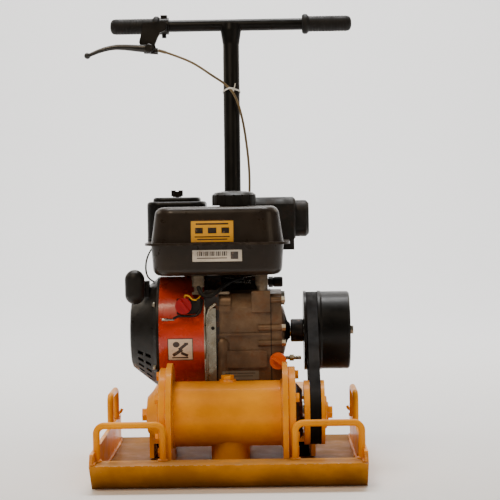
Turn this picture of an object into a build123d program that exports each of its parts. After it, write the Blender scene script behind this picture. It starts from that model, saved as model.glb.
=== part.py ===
"""Plate compactor: base plate, belt-driven exciter, small petrol engine and folding handle.

Millimetres, +Z up. The origin is the centre of the flat underside of the base plate.
+X is the drive-belt side, -Y is the front (the exciter end), +Y is the handle end.
"""
import os
from math import atan2, cos, degrees, pi, radians, sin, sqrt, tan

from build123d import *

# ---- base ----
BASE_HALF_W = 210.0
BASE_FLAT_HALF = 200.0
BASE_FRONT = -240.0
BASE_REAR = 236.0
FLOOR_T = 9.0
STRIP_TOP = 41.0
STRIP_T = 6.0
STRIP_REAR = -188.0
WALL_T = 6.0
WALL_TOP = 57.0
WALL_REAR = 231.6
REAR_LIP_TOP = [(199.3, 9.0), (231.6, 13.94)]
REAR_LIP_RISE = 5.5
REAR_LIP_CORNER = (234.64, 14.4)

# ---- lifting handles, bent from round bar ----
BAR_R = 5.25
LIFT_SPAN = 101.5
LIFT_RISE = 54.75
REAR_LIFT_RISE = 51.0
LIFT_BEND_R = 12.5
LIFT_OUTER_X = 202.5
FRONT_LIFT_Y = -194.0
REAR_LIFT_X = 206.5
REAR_LIFT_Y = 70.0

# ---- exciter ----
EXC_X = -3.0
EXC_Y = -110.0
EXC_Z = 101.0
EXC_TUBE_R = 51.0
EXC_TUBE_WALL = 6.0
EXC_HALF = 86.0
EXC_PLATE_T = 8.5
EXC_PLATE_R = 77.0
EXC_PLATE_REAR = -52.0
EXC_FLANGE_T = 11.5
EXC_FLANGE_R = 72.7
EXC_SHAFT_R = 17.45
EXC_BORE_R = 17.5
BEARING_R = 36.0
BEARING_W = 17.0

# ---- belt drive, B-section belt ----
BELT_X = 134.0
BELT_TOP_HALF = 8.5
BELT_H = 11.0
BELT_TAPER = tan(radians(19.0))
BELT_GAP = 0.4
EXC_BELT_R = 50.0
CLUTCH_BELT_R = 64.0

# ---- engine and clutch ----
CRANK_Y = 40.0
CRANK_Z = 218.0
DECK_TOP = 112.0
DECK_T = 6.0
SHAFT_R = 10.0
DRUM_R = 64.3
DRUM_BORE_R = 58.0
DRUM_END = 196.0
SHOE_R = 56.4
CYL_TILT = 25.0

# ---- handle ----
PIVOT_Y = 250.0
PIVOT_Z = 60.0
BAR_Y = 375.0
BAR_Z = 760.0
COLUMN_R = 15.0
TBAR_R = 11.0
TBAR_HALF = 220.0
GRIP_LEN = 92.0


def block(x0, x1, y0, y1, z0, z1):
    """Box between two corners."""
    size = Box(x1 - x0, y1 - y0, z1 - z0)
    return Pos((x0 + x1) / 2, (y0 + y1) / 2, (z0 + z1) / 2) * size


def rod_x(r, x0, x1, y, z):
    """Cylinder along X."""
    return Pos((x0 + x1) / 2, y, z) * Rot(0, 90, 0) * Cylinder(r, abs(x1 - x0))


def rod_y(r, y0, y1, x, z):
    """Cylinder along Y."""
    return Pos(x, (y0 + y1) / 2, z) * Rot(90, 0, 0) * Cylinder(r, abs(y1 - y0))


def rod_z(r, z0, z1, x, y):
    """Cylinder along Z."""
    return Pos(x, y, (z0 + z1) / 2) * Cylinder(r, abs(z1 - z0))


def hex_x(across_flats, x0, x1, y, z):
    """Hexagonal bar along X."""
    flat = Plane.YZ.offset(x0) * Pos(y, z) * RegularPolygon(across_flats / sqrt(3), 6)
    return extrude(flat, x1 - x0)


def hex_y(across_flats, y0, y1, x, z):
    """Hexagonal bar along Y."""
    flat = Plane(origin=(x, y0, z), z_dir=(0, 1, 0)) * RegularPolygon(across_flats / sqrt(3), 6)
    return extrude(flat, y1 - y0)


def hex_z(across_flats, z0, z1, x, y):
    """Hexagonal bar along Z."""
    flat = Pos(x, y, z0) * RegularPolygon(across_flats / sqrt(3), 6)
    return extrude(flat, z1 - z0)


def turned_x(outline, y, z):
    """Solid of revolution about an axis along X; the outline is (x, radius) points."""
    face = make_face(Polyline(*[(x, r) for x, r in outline], close=True))
    return Pos(0, y, z) * revolve(face, Axis.X)


def turned_z(outline, x, y):
    """Solid of revolution about an axis along Z; the outline is (radius, z) points."""
    face = make_face(Polyline(*[(r, 0, z) for r, z in outline], close=True))
    return Pos(x, y, 0) * revolve(face, Axis.Z)


def slab_x(outline, x0, x1):
    """Plate across X; the outline is (y, z) points."""
    face = make_face(Polyline(*[(0, y, z) for y, z in outline], close=True))
    return Pos(x0, 0, 0) * extrude(face, x1 - x0, dir=(1, 0, 0))


def round_slab_z(x0, x1, y0, y1, z0, z1, r):
    """Block with rounded vertical corners."""
    face = Pos((x0 + x1) / 2, (y0 + y1) / 2, z0) * RectangleRounded(x1 - x0, y1 - y0, r)
    return extrude(face, z1 - z0)


def round_slab_x(x0, x1, y0, y1, z0, z1, r):
    """Block along X with its four long corners rounded."""
    face = Plane.YZ.offset(x0) * Pos((y0 + y1) / 2, (z0 + z1) / 2) * RectangleRounded(y1 - y0, z1 - z0, r)
    return extrude(face, x1 - x0)


def bent_bar(points, r, bends):
    """Round bar along straight runs joined by tangent arcs."""
    path = FilletPolyline(*points, radius=bends)
    start = Plane(origin=path @ 0, z_dir=path % 0)
    return sweep(start * Circle(r), path=path)


def ring_points(count, radius, y, z, first=0.0):
    """Points evenly spaced round a circle in the YZ plane."""
    step = 360.0 / count
    angles = [radians(first + i * step) for i in range(count)]
    return [(y + radius * cos(a), z + radius * sin(a)) for a in angles]


def mirrored_x(shape):
    """The same shape on the other side of the machine."""
    return mirror(shape, about=Plane.YZ)


def group(*shapes):
    """Separate solids kept in one node."""
    return Compound(children=[s for shape in shapes for s in shape.solids()])


# ---------------------------------------------------------------- base

def base_plate():
    """Floor with an upturned front, its top folded back as a strip, and a raised rear lip."""
    strip_under = STRIP_TOP - STRIP_T
    outline = [
        (-BASE_FLAT_HALF, 0),
        (BASE_FLAT_HALF, 0),
        (BASE_REAR, REAR_LIP_RISE),
        REAR_LIP_CORNER,
        REAR_LIP_TOP[0],
        (-196.5, FLOOR_T),
        (-221.9, strip_under),
        (STRIP_REAR, strip_under),
        (STRIP_REAR, STRIP_TOP),
        (BASE_FRONT, STRIP_TOP),
    ]
    return slab_x(outline, -BASE_HALF_W, BASE_HALF_W)


def side_wall():
    """Wall along one edge of the floor, closing the end of the nose, notched for a handle leg."""
    outline = [
        (-238, STRIP_TOP),
        (STRIP_REAR, STRIP_TOP),
        (STRIP_REAR, STRIP_TOP - STRIP_T),
        (-221.9, STRIP_TOP - STRIP_T),
        (-196.5, FLOOR_T),
        *REAR_LIP_TOP,
        (WALL_REAR, WALL_TOP),
        (-227, WALL_TOP),
    ]
    wall = slab_x(outline, BASE_HALF_W - WALL_T, BASE_HALF_W)
    return wall - rod_z(BAR_R, STRIP_TOP, WALL_TOP + 1, LIFT_OUTER_X, FRONT_LIFT_Y)


def front_lift_handle():
    """Bent bar standing on the front strip."""
    top = STRIP_TOP + LIFT_RISE
    inner = LIFT_OUTER_X - LIFT_SPAN
    corners = [(inner, STRIP_TOP), (inner, top), (LIFT_OUTER_X, top), (LIFT_OUTER_X, STRIP_TOP)]
    points = [(x, FRONT_LIFT_Y, z) for x, z in corners]
    return bent_bar(points, BAR_R, [LIFT_BEND_R] * 2)


def rear_lift_handle():
    """The same bent bar standing on a side wall."""
    top = WALL_TOP + REAR_LIFT_RISE
    far = REAR_LIFT_Y + LIFT_SPAN
    corners = [(REAR_LIFT_Y, WALL_TOP), (REAR_LIFT_Y, top), (far, top), (far, WALL_TOP)]
    points = [(REAR_LIFT_X, y, z) for y, z in corners]
    return bent_bar(points, BAR_R, [LIFT_BEND_R] * 2)


def hook_rod():
    """Short hooked rod on a side wall, for tying cables back."""
    y = REAR_LIFT_Y + LIFT_SPAN + 22
    points = [(206, y, WALL_TOP), (206, y, WALL_TOP + 5.5), (200.5, y, WALL_TOP + 9), (198, y, WALL_TOP + 14)]
    return bent_bar(points, 2.6, [3.0, 3.0])


# ---------------------------------------------------------------- exciter

def exciter_tube():
    """Sealed tube that holds the eccentric, with a boss for the oil plug."""
    left = EXC_X - EXC_HALF
    right = EXC_X + EXC_HALF
    boss = rod_z(13.5, EXC_Z + EXC_TUBE_R - 6, EXC_Z + EXC_TUBE_R + 1, EXC_X, EXC_Y)
    tube = rod_x(EXC_TUBE_R, left, right, EXC_Y, EXC_Z) + boss
    tube = tube - rod_x(EXC_TUBE_R - EXC_TUBE_WALL, left, right, EXC_Y, EXC_Z)
    return tube - rod_z(7, EXC_Z + 20, EXC_Z + EXC_TUBE_R + 3, EXC_X, EXC_Y)


def exciter_saddle():
    """Round stub that carries the middle of the tube on the floor."""
    stub = rod_z(30, FLOOR_T, EXC_Z - 30, 0, EXC_Y)
    return stub - rod_x(EXC_TUBE_R, -40, 40, EXC_Y, EXC_Z)


def exciter_plate(x0, x1):
    """Upright end plate with a round top, welded to the floor."""
    top_z = EXC_Z + 3
    front = EXC_Y - EXC_PLATE_R
    plate = rod_x(EXC_PLATE_R, x0, x1, EXC_Y, top_z) + block(x0, x1, front, EXC_Y, FLOOR_T, top_z)
    plate = plate + block(x0, x1, EXC_Y, EXC_Y + EXC_PLATE_R, FLOOR_T, top_z)
    plate = plate & block(x0, x1, front, EXC_PLATE_REAR, FLOOR_T, top_z + EXC_PLATE_R)
    return plate - rod_x(BEARING_R, x0 - 1, x1 + 1, EXC_Y, EXC_Z)


def exciter_plates():
    """Both end plates."""
    far = EXC_HALF + EXC_PLATE_T
    left = exciter_plate(EXC_X - far, EXC_X - EXC_HALF)
    return group(left, exciter_plate(EXC_X + EXC_HALF, EXC_X + far))


def exciter_flange(side):
    """Round bearing flange bolted to the outside of an end plate."""
    inner = EXC_X + side * (EXC_HALF + EXC_PLATE_T)
    outer = inner + side * EXC_FLANGE_T
    x0, x1 = sorted((inner, outer))
    disc = chamfer(rod_x(EXC_FLANGE_R, x0, x1, EXC_Y, EXC_Z).edges(), 1.2)
    disc = disc & block(x0, x1, EXC_Y - 80, EXC_Y + 80, FLOOR_T + 0.5, 200)
    return disc - rod_x(BEARING_R, x0 - 1, x1 + 1, EXC_Y, EXC_Z)


def flange_bolts():
    """Hexagon bolts round both flanges."""
    head = 5.5
    face = EXC_HALF + EXC_PLATE_T + EXC_FLANGE_T
    bolts = []
    for y, z in ring_points(6, 60, EXC_Y, EXC_Z, 30):
        bolts.append(hex_x(13, EXC_X - face - head, EXC_X - face, y, z))
        bolts.append(hex_x(13, EXC_X + face, EXC_X + face + head, y, z))
    return group(*bolts)


def bearing_cover_left():
    """Blind conical cap with a bolt on its axis."""
    face = EXC_X - EXC_HALF - EXC_PLATE_T - EXC_FLANGE_T
    outline = [
        (face, 47), (face - 3, 47), (face - 20, 28), (face - 20, 0),
        (face - 15, 0), (face - 15, 23), (face, 41),
    ]
    cap = turned_x(outline, EXC_Y, EXC_Z)
    washer = rod_x(13, face - 22, face - 20, EXC_Y, EXC_Z)
    return cap + washer + hex_x(18, face - 29, face - 22, EXC_Y, EXC_Z)


def bearing_cover_right():
    """Open conical cap that holds the shaft seal."""
    face = EXC_X + EXC_HALF + EXC_PLATE_T + EXC_FLANGE_T
    outline = [(face, 46), (face + 2.5, 46), (face + 10.5, 36), (face + 10.5, 26), (face, 26)]
    return turned_x(outline, EXC_Y, EXC_Z)


def shaft_seal():
    """Lip seal in the right cover."""
    face = EXC_X + EXC_HALF + EXC_PLATE_T + EXC_FLANGE_T
    ring = rod_x(26, face + 1, face + 9, EXC_Y, EXC_Z)
    return ring - rod_x(EXC_BORE_R, face, face + 10, EXC_Y, EXC_Z)


def ball_bearing(x0):
    """Outer ring, balls and inner ring of one bearing."""
    x1 = x0 + BEARING_W
    outer = rod_x(BEARING_R, x0, x1, EXC_Y, EXC_Z) - rod_x(30.6, x0, x1, EXC_Y, EXC_Z)
    inner = rod_x(23.0, x0, x1, EXC_Y, EXC_Z) - rod_x(EXC_BORE_R, x0, x1, EXC_Y, EXC_Z)
    middle = (x0 + x1) / 2
    balls = [Pos(middle, y, z) * Sphere(3.7) for y, z in ring_points(10, 26.8, EXC_Y, EXC_Z)]
    return group(outer, inner, *balls)


def exciter_bearings():
    """The two bearings of the eccentric shaft."""
    inset = EXC_HALF + 2.5
    return group(ball_bearing(EXC_X - inset - BEARING_W), ball_bearing(EXC_X + inset))


def exciter_shaft():
    """Shaft from the left cap to the pulley, tapped for the pulley bolt."""
    shaft = rod_x(EXC_SHAFT_R, EXC_X - EXC_HALF - 20, 151, EXC_Y, EXC_Z)
    return shaft - rod_x(5, 125, 152, EXC_Y, EXC_Z)


def eccentric_weight():
    """Half ring clamped on the shaft, hanging below it at rest."""
    ring = rod_x(41, EXC_X - 52, EXC_X + 52, EXC_Y, EXC_Z)
    ring = ring & block(EXC_X - 52, EXC_X + 52, EXC_Y - 42, EXC_Y + 42, EXC_Z - 42, EXC_Z)
    return ring - rod_x(EXC_SHAFT_R, EXC_X - 53, EXC_X + 53, EXC_Y, EXC_Z)


def exciter_oil_plug():
    """Hexagon plug and washer on the boss."""
    seat = EXC_Z + EXC_TUBE_R + 1
    plug = rod_z(12.75, seat, seat + 2, EXC_X, EXC_Y) + hex_z(17, seat + 2, seat + 8.5, EXC_X, EXC_Y)
    return plug + rod_z(6.95, seat - 10, seat, EXC_X, EXC_Y)


def groove(outer_r, belt_r):
    """Outline of one V-groove side pair at the belt, with running space."""
    half_top = BELT_TOP_HALF + BELT_GAP + (outer_r - belt_r) * BELT_TAPER
    floor_r = belt_r - BELT_H - 1.5
    half_low = half_top - (outer_r - floor_r) * BELT_TAPER
    return [
        (BELT_X + half_top, outer_r), (BELT_X + half_low, floor_r),
        (BELT_X - half_low, floor_r), (BELT_X - half_top, outer_r),
    ]


def exciter_pulley():
    """Grooved pulley with a hub step on its outer face."""
    outer = EXC_BELT_R + 0.3
    outline = [(116.5, EXC_SHAFT_R), (152, EXC_SHAFT_R), (152, 24.5), (150.5, 26), (148.5, 26), (148.5, outer)]
    outline = outline + groove(outer, EXC_BELT_R) + [(116.5, outer)]
    return turned_x(outline, EXC_Y, EXC_Z)


def exciter_pulley_bolt():
    """Bolt and washer that hold the pulley on its shaft."""
    bolt = rod_x(16, 152, 154.5, EXC_Y, EXC_Z) + hex_x(18, 154.5, 161, EXC_Y, EXC_Z)
    return bolt + rod_x(5, 128, 152, EXC_Y, EXC_Z)


# ---------------------------------------------------------------- belt and clutch

def tangent_loop(r_a, r_b):
    """Closed loop in the YZ plane round the two pulleys, at the given radii."""
    dy = CRANK_Y - EXC_Y
    dz = CRANK_Z - EXC_Z
    span = sqrt(dy * dy + dz * dz)
    along = (dy / span, dz / span)
    across = (-along[1], along[0])
    lean = (r_b - r_a) / span
    square = sqrt(1 - lean * lean)
    normals = [tuple(-lean * a + side * square * c for a, c in zip(along, across)) for side in (1, -1)]
    top, low = normals

    def spot(y, z, r, n):
        return Vector(BELT_X, y + r * n[0], z + r * n[1])

    a_top = spot(EXC_Y, EXC_Z, r_a, top)
    b_top = spot(CRANK_Y, CRANK_Z, r_b, top)
    a_low = spot(EXC_Y, EXC_Z, r_a, low)
    b_low = spot(CRANK_Y, CRANK_Z, r_b, low)
    a_end = spot(EXC_Y, EXC_Z, r_a, (-along[0], -along[1]))
    b_end = spot(CRANK_Y, CRANK_Z, r_b, along)
    return Wire([
        Line(a_top, b_top), ThreePointArc(b_top, b_end, b_low),
        Line(b_low, a_low), ThreePointArc(a_low, a_end, a_top),
    ])


def drive_belt():
    """V-belt, wide outside and narrow inside, round both pulleys."""
    path = tangent_loop(EXC_BELT_R, CLUTCH_BELT_R)
    low_half = BELT_TOP_HALF - BELT_H * BELT_TAPER
    section = [(-BELT_TOP_HALF, 0), (BELT_TOP_HALF, 0), (low_half, BELT_H), (-low_half, BELT_H)]
    side = Vector(1, 0, 0)
    forward = path % 0
    inward = forward.cross(side)
    centre = Vector(BELT_X, (EXC_Y + CRANK_Y) / 2, (EXC_Z + CRANK_Z) / 2)
    if inward.dot(centre - (path @ 0)) < 0:
        inward = -inward
    corners = [(path @ 0) + side * x + inward * depth for x, depth in section]
    return sweep(make_face(Polyline(*corners, close=True)), path=path, is_frenet=False)


def clutch_drum():
    """Cup open on its outer side, with the belt pulley cast on its inner side."""
    rim = CLUTCH_BELT_R + 1.5
    outline = [
        (120.5, 26), (144, 26), (144, 30), (150, 30), (150, DRUM_BORE_R), (DRUM_END, DRUM_BORE_R),
        (DRUM_END, DRUM_R - 2.5), (DRUM_END - 2.5, DRUM_R), (150, DRUM_R), (147, rim),
    ]
    outline = outline + groove(rim, CLUTCH_BELT_R) + [(120.5, rim)]
    return turned_x(outline, CRANK_Y, CRANK_Z)


def clutch_bearing():
    """Ring between the drum and the hub sleeve."""
    ring = rod_x(26, 123, 143, CRANK_Y, CRANK_Z)
    return ring - rod_x(15.05, 122, 144, CRANK_Y, CRANK_Z)


def clutch_hub():
    """Sleeve on the crankshaft, with a disc and two lugs that drive the shoes."""
    hub = rod_x(15, 122.5, 152, CRANK_Y, CRANK_Z) + rod_x(20, 152, 190, CRANK_Y, CRANK_Z)
    hub = hub + block(156, 186, CRANK_Y - 33, CRANK_Y + 33, CRANK_Z - 8, CRANK_Z + 8)
    hub = hub - rod_x(SHAFT_R, 122, 178, CRANK_Y, CRANK_Z)
    return hub - rod_x(4, 177, 191, CRANK_Y, CRANK_Z)


def clutch_shoe(side):
    """Curved shoe with a slot that slides on one hub lug."""
    ring = rod_x(SHOE_R, 155, 189, CRANK_Y, CRANK_Z) - rod_x(25, 154, 190, CRANK_Y, CRANK_Z)
    reach = 60
    spread = radians(72)
    wedge = [
        (CRANK_Y, CRANK_Z),
        (CRANK_Y + side * reach * cos(spread), CRANK_Z + reach * sin(spread)),
        (CRANK_Y + side * reach * 1.6, CRANK_Z + reach),
        (CRANK_Y + side * reach * 1.6, CRANK_Z - reach),
        (CRANK_Y + side * reach * cos(spread), CRANK_Z - reach * sin(spread)),
    ]
    shoe = ring & slab_x(wedge, 155, 189)
    y0, y1 = sorted((CRANK_Y, CRANK_Y + side * 34.5))
    return shoe - block(154, 190, y0, y1, CRANK_Z - 8.4, CRANK_Z + 8.4)


def return_spring(z):
    """Close-wound tension spring between the shoe ends, drawn as its ribbed outside."""
    wire = 1.3
    turns = 18
    start = CRANK_Y - turns * wire / 2
    coil = None
    for i in range(turns):
        y = start + (i + 0.5) * wire
        ring = Pos(172, y, z) * Rot(90, 0, 0) * Torus(3.4, wire / 2 + 0.05)
        coil = ring if coil is None else coil + ring
    return coil


def clutch_springs():
    """Both return springs."""
    return group(return_spring(CRANK_Z + 44), return_spring(CRANK_Z - 44))


def clutch_bolt():
    """Bolt and washer in the end of the crankshaft."""
    bolt = rod_x(13, 190, 193, CRANK_Y, CRANK_Z) + hex_x(13, 193, 203, CRANK_Y, CRANK_Z)
    return bolt + rod_x(4, 168, 190, CRANK_Y, CRANK_Z)


def clutch_collar():
    """Spacer between the engine and the clutch."""
    ring = chamfer(rod_x(19, 99, 120, CRANK_Y, CRANK_Z).edges(), 1.5)
    return ring - rod_x(SHAFT_R, 98, 121, CRANK_Y, CRANK_Z)


# ---------------------------------------------------------------- engine bed

BED_HALF_W = 137.0
BED_FRONT = -50.0
BED_WIDE_FRONT = 12.0
BED_REAR = 215.0
BED_SIDE_T = 7.0
BED_SIDE_LOW = 12.0
SHELF_TOP = 42.0
MOUNT_X = 114.0
MOUNT_YS = (42.0, 180.0)


def engine_bed():
    """Deck for the engine with a downturned, lipped side on each edge."""
    deck = block(-BED_HALF_W, BED_HALF_W, BED_WIDE_FRONT, BED_REAR, DECK_TOP - DECK_T, DECK_TOP)
    deck = deck + block(-86, 80, BED_FRONT, BED_WIDE_FRONT, DECK_TOP - DECK_T, DECK_TOP)
    for side in (-1, 1):
        outer = side * BED_HALF_W
        inner = side * (BED_HALF_W - BED_SIDE_T)
        lip = side * (MOUNT_X - 20)
        deck = deck + block(*sorted((inner, outer)), BED_WIDE_FRONT, BED_REAR, BED_SIDE_LOW, DECK_TOP)
        deck = deck + block(*sorted((lip, outer)), BED_WIDE_FRONT, BED_REAR, SHELF_TOP - DECK_T, SHELF_TOP)
    return deck


def mount_spots():
    """Centres of the four rubber mounts."""
    return [(side * MOUNT_X, y) for side in (-1, 1) for y in MOUNT_YS]


def rubber_mounts():
    """Waisted rubber buffers between the floor and the bed."""
    top = SHELF_TOP - DECK_T
    outline = [(0, FLOOR_T), (15, FLOOR_T), (13, 16), (12.5, 22.5), (13, 29), (15, top), (0, top)]
    return group(*[turned_z(outline, x, y) for x, y in mount_spots()])


def mount_nuts():
    """Nuts and stud ends on top of the lips."""
    nuts = [hex_z(13, SHELF_TOP, SHELF_TOP + 6.5, x, y) for x, y in mount_spots()]
    studs = [rod_z(4, SHELF_TOP + 6.5, SHELF_TOP + 11, x, y) for x, y in mount_spots()]
    return group(*[nut + stud for nut, stud in zip(nuts, studs)])


def engine_bolts():
    """Four bolts through the engine's foot."""
    spots = [(x, y) for x in (-15, 54) for y in (-38, 122)]
    return group(*[rod_z(9, 120, 121.5, x, y) + hex_z(13, 121.5, 128, x, y) for x, y in spots])


# ---------------------------------------------------------------- engine block

def tilted(shape):
    """Turn a shape drawn along +Y onto the inclined cylinder axis."""
    return Pos(0, CRANK_Y, CRANK_Z) * Rot(CYL_TILT, 0, 0) * shape


CASE_LEFT = -20.0
CASE_RIGHT = 66.0
CASE_FRONT = -45.0
CASE_REAR = 112.0
CASE_LOW = 116.0
CASE_TOP = 285.0
COVER_FACE = 84.0
BOLT_LINE_ZS = (275.0, 230.0, 205.0)


def crankcase():
    """Cast block with its foot, front pads and ribs, and the crank chamber open to the right."""
    case = round_slab_x(CASE_LEFT, CASE_RIGHT, CASE_FRONT, CASE_REAR, CASE_LOW, CASE_TOP, 16)
    slope = [(CASE_FRONT - 1, 262), (CASE_FRONT + 18, CASE_TOP + 1), (CASE_FRONT - 1, CASE_TOP + 1)]
    case = case - slab_x(slope, 2, 36)
    case = case + block(-27, 73, -50, 132, DECK_TOP, 120)
    case = case + fillet(block(36, CASE_RIGHT, -50, -20, 254, 290).edges().filter_by(Axis.X), 3)
    case = case + block(CASE_LEFT, 2, -48, -40, 257, 266)
    case = case + fillet(block(-14, 60, -49, -40, 166, 194).edges().filter_by(Axis.Y), 6)
    case = case + block(CASE_LEFT, CASE_RIGHT, -48, -40, 218, 222)
    case = case + rod_z(13, 130, 204, -12, -38) + Pos(-12, -38, 204) * Sphere(13)
    for z in BOLT_LINE_ZS[1:]:
        case = case + rod_x(5.5, 46, CASE_RIGHT, -45, z)
    for x0, x1 in ((-28, -2), (43, 74)):
        case = case - block(x0, x1, -51, -26, 120, 136)
    case = case + finned_barrel()
    case = case - rod_x(47, CASE_LEFT + 7, CASE_RIGHT + 1, CRANK_Y, CRANK_Z)
    return case - rod_x(SHAFT_R + 0.05, CASE_LEFT - 1, CASE_LEFT + 8, CRANK_Y, CRANK_Z)


def side_cover():
    """Cover on the drive side, with the shaft boss, bolt bosses and oil filler neck."""
    cover = round_slab_x(CASE_RIGHT, COVER_FACE, CASE_FRONT + 2, CASE_REAR - 2, 122, 284, 14)
    boss = [(COVER_FACE - 1, 0), (COVER_FACE - 1, 42), (87, 40), (90, 30), (90, 0)]
    cover = cover + turned_x(boss, CRANK_Y, CRANK_Z)
    for z in BOLT_LINE_ZS:
        cover = cover + rod_x(5.5, CASE_RIGHT, COVER_FACE, -44, z)
    cover = cover + rod_y(10.8, -50, -20, 77, 177) + block(CASE_RIGHT, COVER_FACE, -43, -20, 165, 189)
    return cover - rod_x(SHAFT_R + 0.05, 60, 92, CRANK_Y, CRANK_Z)


def cover_bolts():
    """Bolts round the drive-side cover, and a spare stud with its nut."""
    rear = [(104, z) for z in (160, 230, 262)]
    front = [(-44, z) for z in BOLT_LINE_ZS]
    edge = [(20, 277), (70, 277), (20, 129), (80, 129)]
    heads = [hex_x(10, COVER_FACE, COVER_FACE + 6, y, z) for y, z in rear + front + edge]
    stud = rod_x(3.2, COVER_FACE, 115, -14, 178) + hex_x(10, 96, 103, -14, 178)
    return group(*heads, stud)


def crank_seal():
    """Rubber cone over the shaft seal."""
    outline = [(90, SHAFT_R + 0.05), (98, SHAFT_R + 0.05), (98, 12.5), (94, 16), (90, 29)]
    return turned_x(outline, CRANK_Y, CRANK_Z)


def crankshaft():
    """Shaft with two webs and an offset pin."""
    shaft = rod_x(SHAFT_R, -104, 150, CRANK_Y, CRANK_Z)
    shaft = shaft - rod_x(4, 150, 168, CRANK_Y, CRANK_Z)
    gap = rod_x(SHAFT_R + 1, 14, 34, CRANK_Y, CRANK_Z)
    webs = rod_x(40, 2, 14, CRANK_Y, CRANK_Z) + rod_x(40, 34, 46, CRANK_Y, CRANK_Z)
    webs = webs & block(0, 50, CRANK_Y - 42, CRANK_Y + 42, CRANK_Z - 42, CRANK_Z + 24)
    pin = rod_x(14, 13, 35, CRANK_Y, CRANK_Z + 20)
    return (shaft - gap) + (webs & block(0, 50, 0, 80, 170, 242)) + (pin & block(0, 50, 0, 80, 170, 242))


def finned_barrel():
    """Cylinder barrel cast on the back of the crankcase."""
    barrel = rod_y(40, 60, 124, 22, 0)
    for i in range(6):
        y = 80 + i * 8
        barrel = barrel + round_slab_y(-18, 62, y, y + 2.6, -50, 50, 8)
    barrel = tilted(barrel)
    return barrel - block(-30, 70, -60, CASE_REAR, 100, CASE_TOP)


def round_slab_y(x0, x1, y0, y1, z0, z1, r):
    """Plate across Y with rounded corners."""
    frame = Plane(origin=((x0 + x1) / 2, y0, (z0 + z1) / 2), x_dir=(1, 0, 0), z_dir=(0, -1, 0))
    return extrude(frame * RectangleRounded(x1 - x0, z1 - z0, r), -(y1 - y0))


PLUG_SEAT = 52.0
PLUG_BOOT_END = 88.0
PLUG_SPOT = (150, 12)
PORT_LOW = 305.0
PORT_SPOT = (36, 160)


def cylinder_head():
    """Finned head on the barrel."""
    head = round_slab_y(-18, 62, 124, 134, -48, 48, 8) + round_slab_y(-8, 52, 134, 166, -40, 40, 8)
    for i in range(3):
        y = 142 + i * 8
        head = head + round_slab_y(-18, 62, y, y + 2.8, -48, 48, 8)
    head = tilted(head - rod_x(11, PLUG_SEAT, 63, *PLUG_SPOT))
    return head - rod_z(12, PORT_LOW, 360, *PORT_SPOT)


def rocker_cover():
    """Pressed cover on the end of the head."""
    cover = round_slab_y(-10, 54, 166, 169, -38, 38, 10) + round_slab_y(-5, 49, 169, 190, -33, 33, 12)
    return tilted(cover)


def spark_plug():
    """Plug in the side of the head with its boot."""
    plug = rod_x(6, PLUG_SEAT, 66, *PLUG_SPOT) + hex_x(16, 63, 71, *PLUG_SPOT)
    boot = chamfer(rod_x(9, 71, PLUG_BOOT_END, *PLUG_SPOT).edges(), 2)
    return tilted(plug + boot)


def slotted(shape, count, step, y, z, r0, r1, x0, x1, first):
    """Cut radial slots round an axis along X, a step of degrees apart."""
    for i in range(count):
        angle = first + i * step
        slot = block(x0, x1, r0, r1, -3, 3)
        shape = shape - Pos(0, y, z) * Rot(angle, 0, 0) * slot
    return shape


# ---------------------------------------------------------------- cooling side

HOUSING_LEFT = -114.0
HOUSING_RIGHT = -41.0
HOUSING_R = 100.0
HOUSING_TOP = 300.0
HOUSING_CROWN = 312.0
HOUSING_REAR = 160.0
SHEET = 3.0
GRIP_BAR_R = 16.0
AIR_SLOTS = 13
AIR_SLOT_STEP = 11.07
AIR_SLOT_FIRST = 203.6
KNOB_X = -73.0
KNOB_Z = 268.4


def housing_form(x0, x1, inset):
    """Round front and square rear of the fan housing, shrunk by an inset."""
    low = CRANK_Z - HOUSING_R + inset
    top = HOUSING_TOP - inset
    rear = HOUSING_REAR - inset
    form = rod_x(HOUSING_R - inset, x0, x1, CRANK_Y, CRANK_Z)
    form = form + block(x0, x1, CRANK_Y, rear, 165 + inset, top)
    return form & block(x0, x1, -80, rear, low - 1, HOUSING_CROWN - inset)


def blower_housing():
    """Pressed steel fan housing, open to the engine, with a round air inlet on the left."""
    shell = housing_form(HOUSING_LEFT, HOUSING_RIGHT, 0)
    shell = shell - housing_form(HOUSING_LEFT + SHEET, HOUSING_RIGHT + 1, SHEET)
    return shell - rod_x(80, HOUSING_LEFT - 1, HOUSING_LEFT + SHEET + 1, CRANK_Y, CRANK_Z)


def side_shroud():
    """Zinc plate closing the housing, with a flange in front of the crankcase."""
    plate = housing_form(HOUSING_RIGHT, HOUSING_RIGHT + 2, 0)
    plate = plate - rod_x(30, -45, -35, CRANK_Y, CRANK_Z)
    plate = plate - block(-45, -35, 120, 170, 160, 301)
    flange = block(HOUSING_RIGHT + 2, -22, -53, -51, 146, 255) + block(-41, -39, -53, -30, 146, 255)
    bead_points = [(-37, -52, 146), (-37, -52, 252), (-33, -52, 262), (-22, -52, 270)]
    bead = bent_bar(bead_points, 2.4, [14, 12])
    tab = block(-34, -22, -53, -51, 250, 263)
    cut = rod_y(3, -60, -45, -27, 231)
    return (plate + flange + bead + tab) - cut


def flywheel():
    """Disc with fan blades."""
    wheel = rod_x(76, -88, -74, CRANK_Y, CRANK_Z) + rod_x(24, -100, -60, CRANK_Y, CRANK_Z)
    for i in range(12):
        blade = block(-106, -88, 46, 76, -1.5, 1.5)
        wheel = wheel + Pos(0, CRANK_Y, CRANK_Z) * Rot(i * 30, 0, 0) * blade
    return wheel - rod_x(SHAFT_R, -104.5, -55, CRANK_Y, CRANK_Z)


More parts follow.
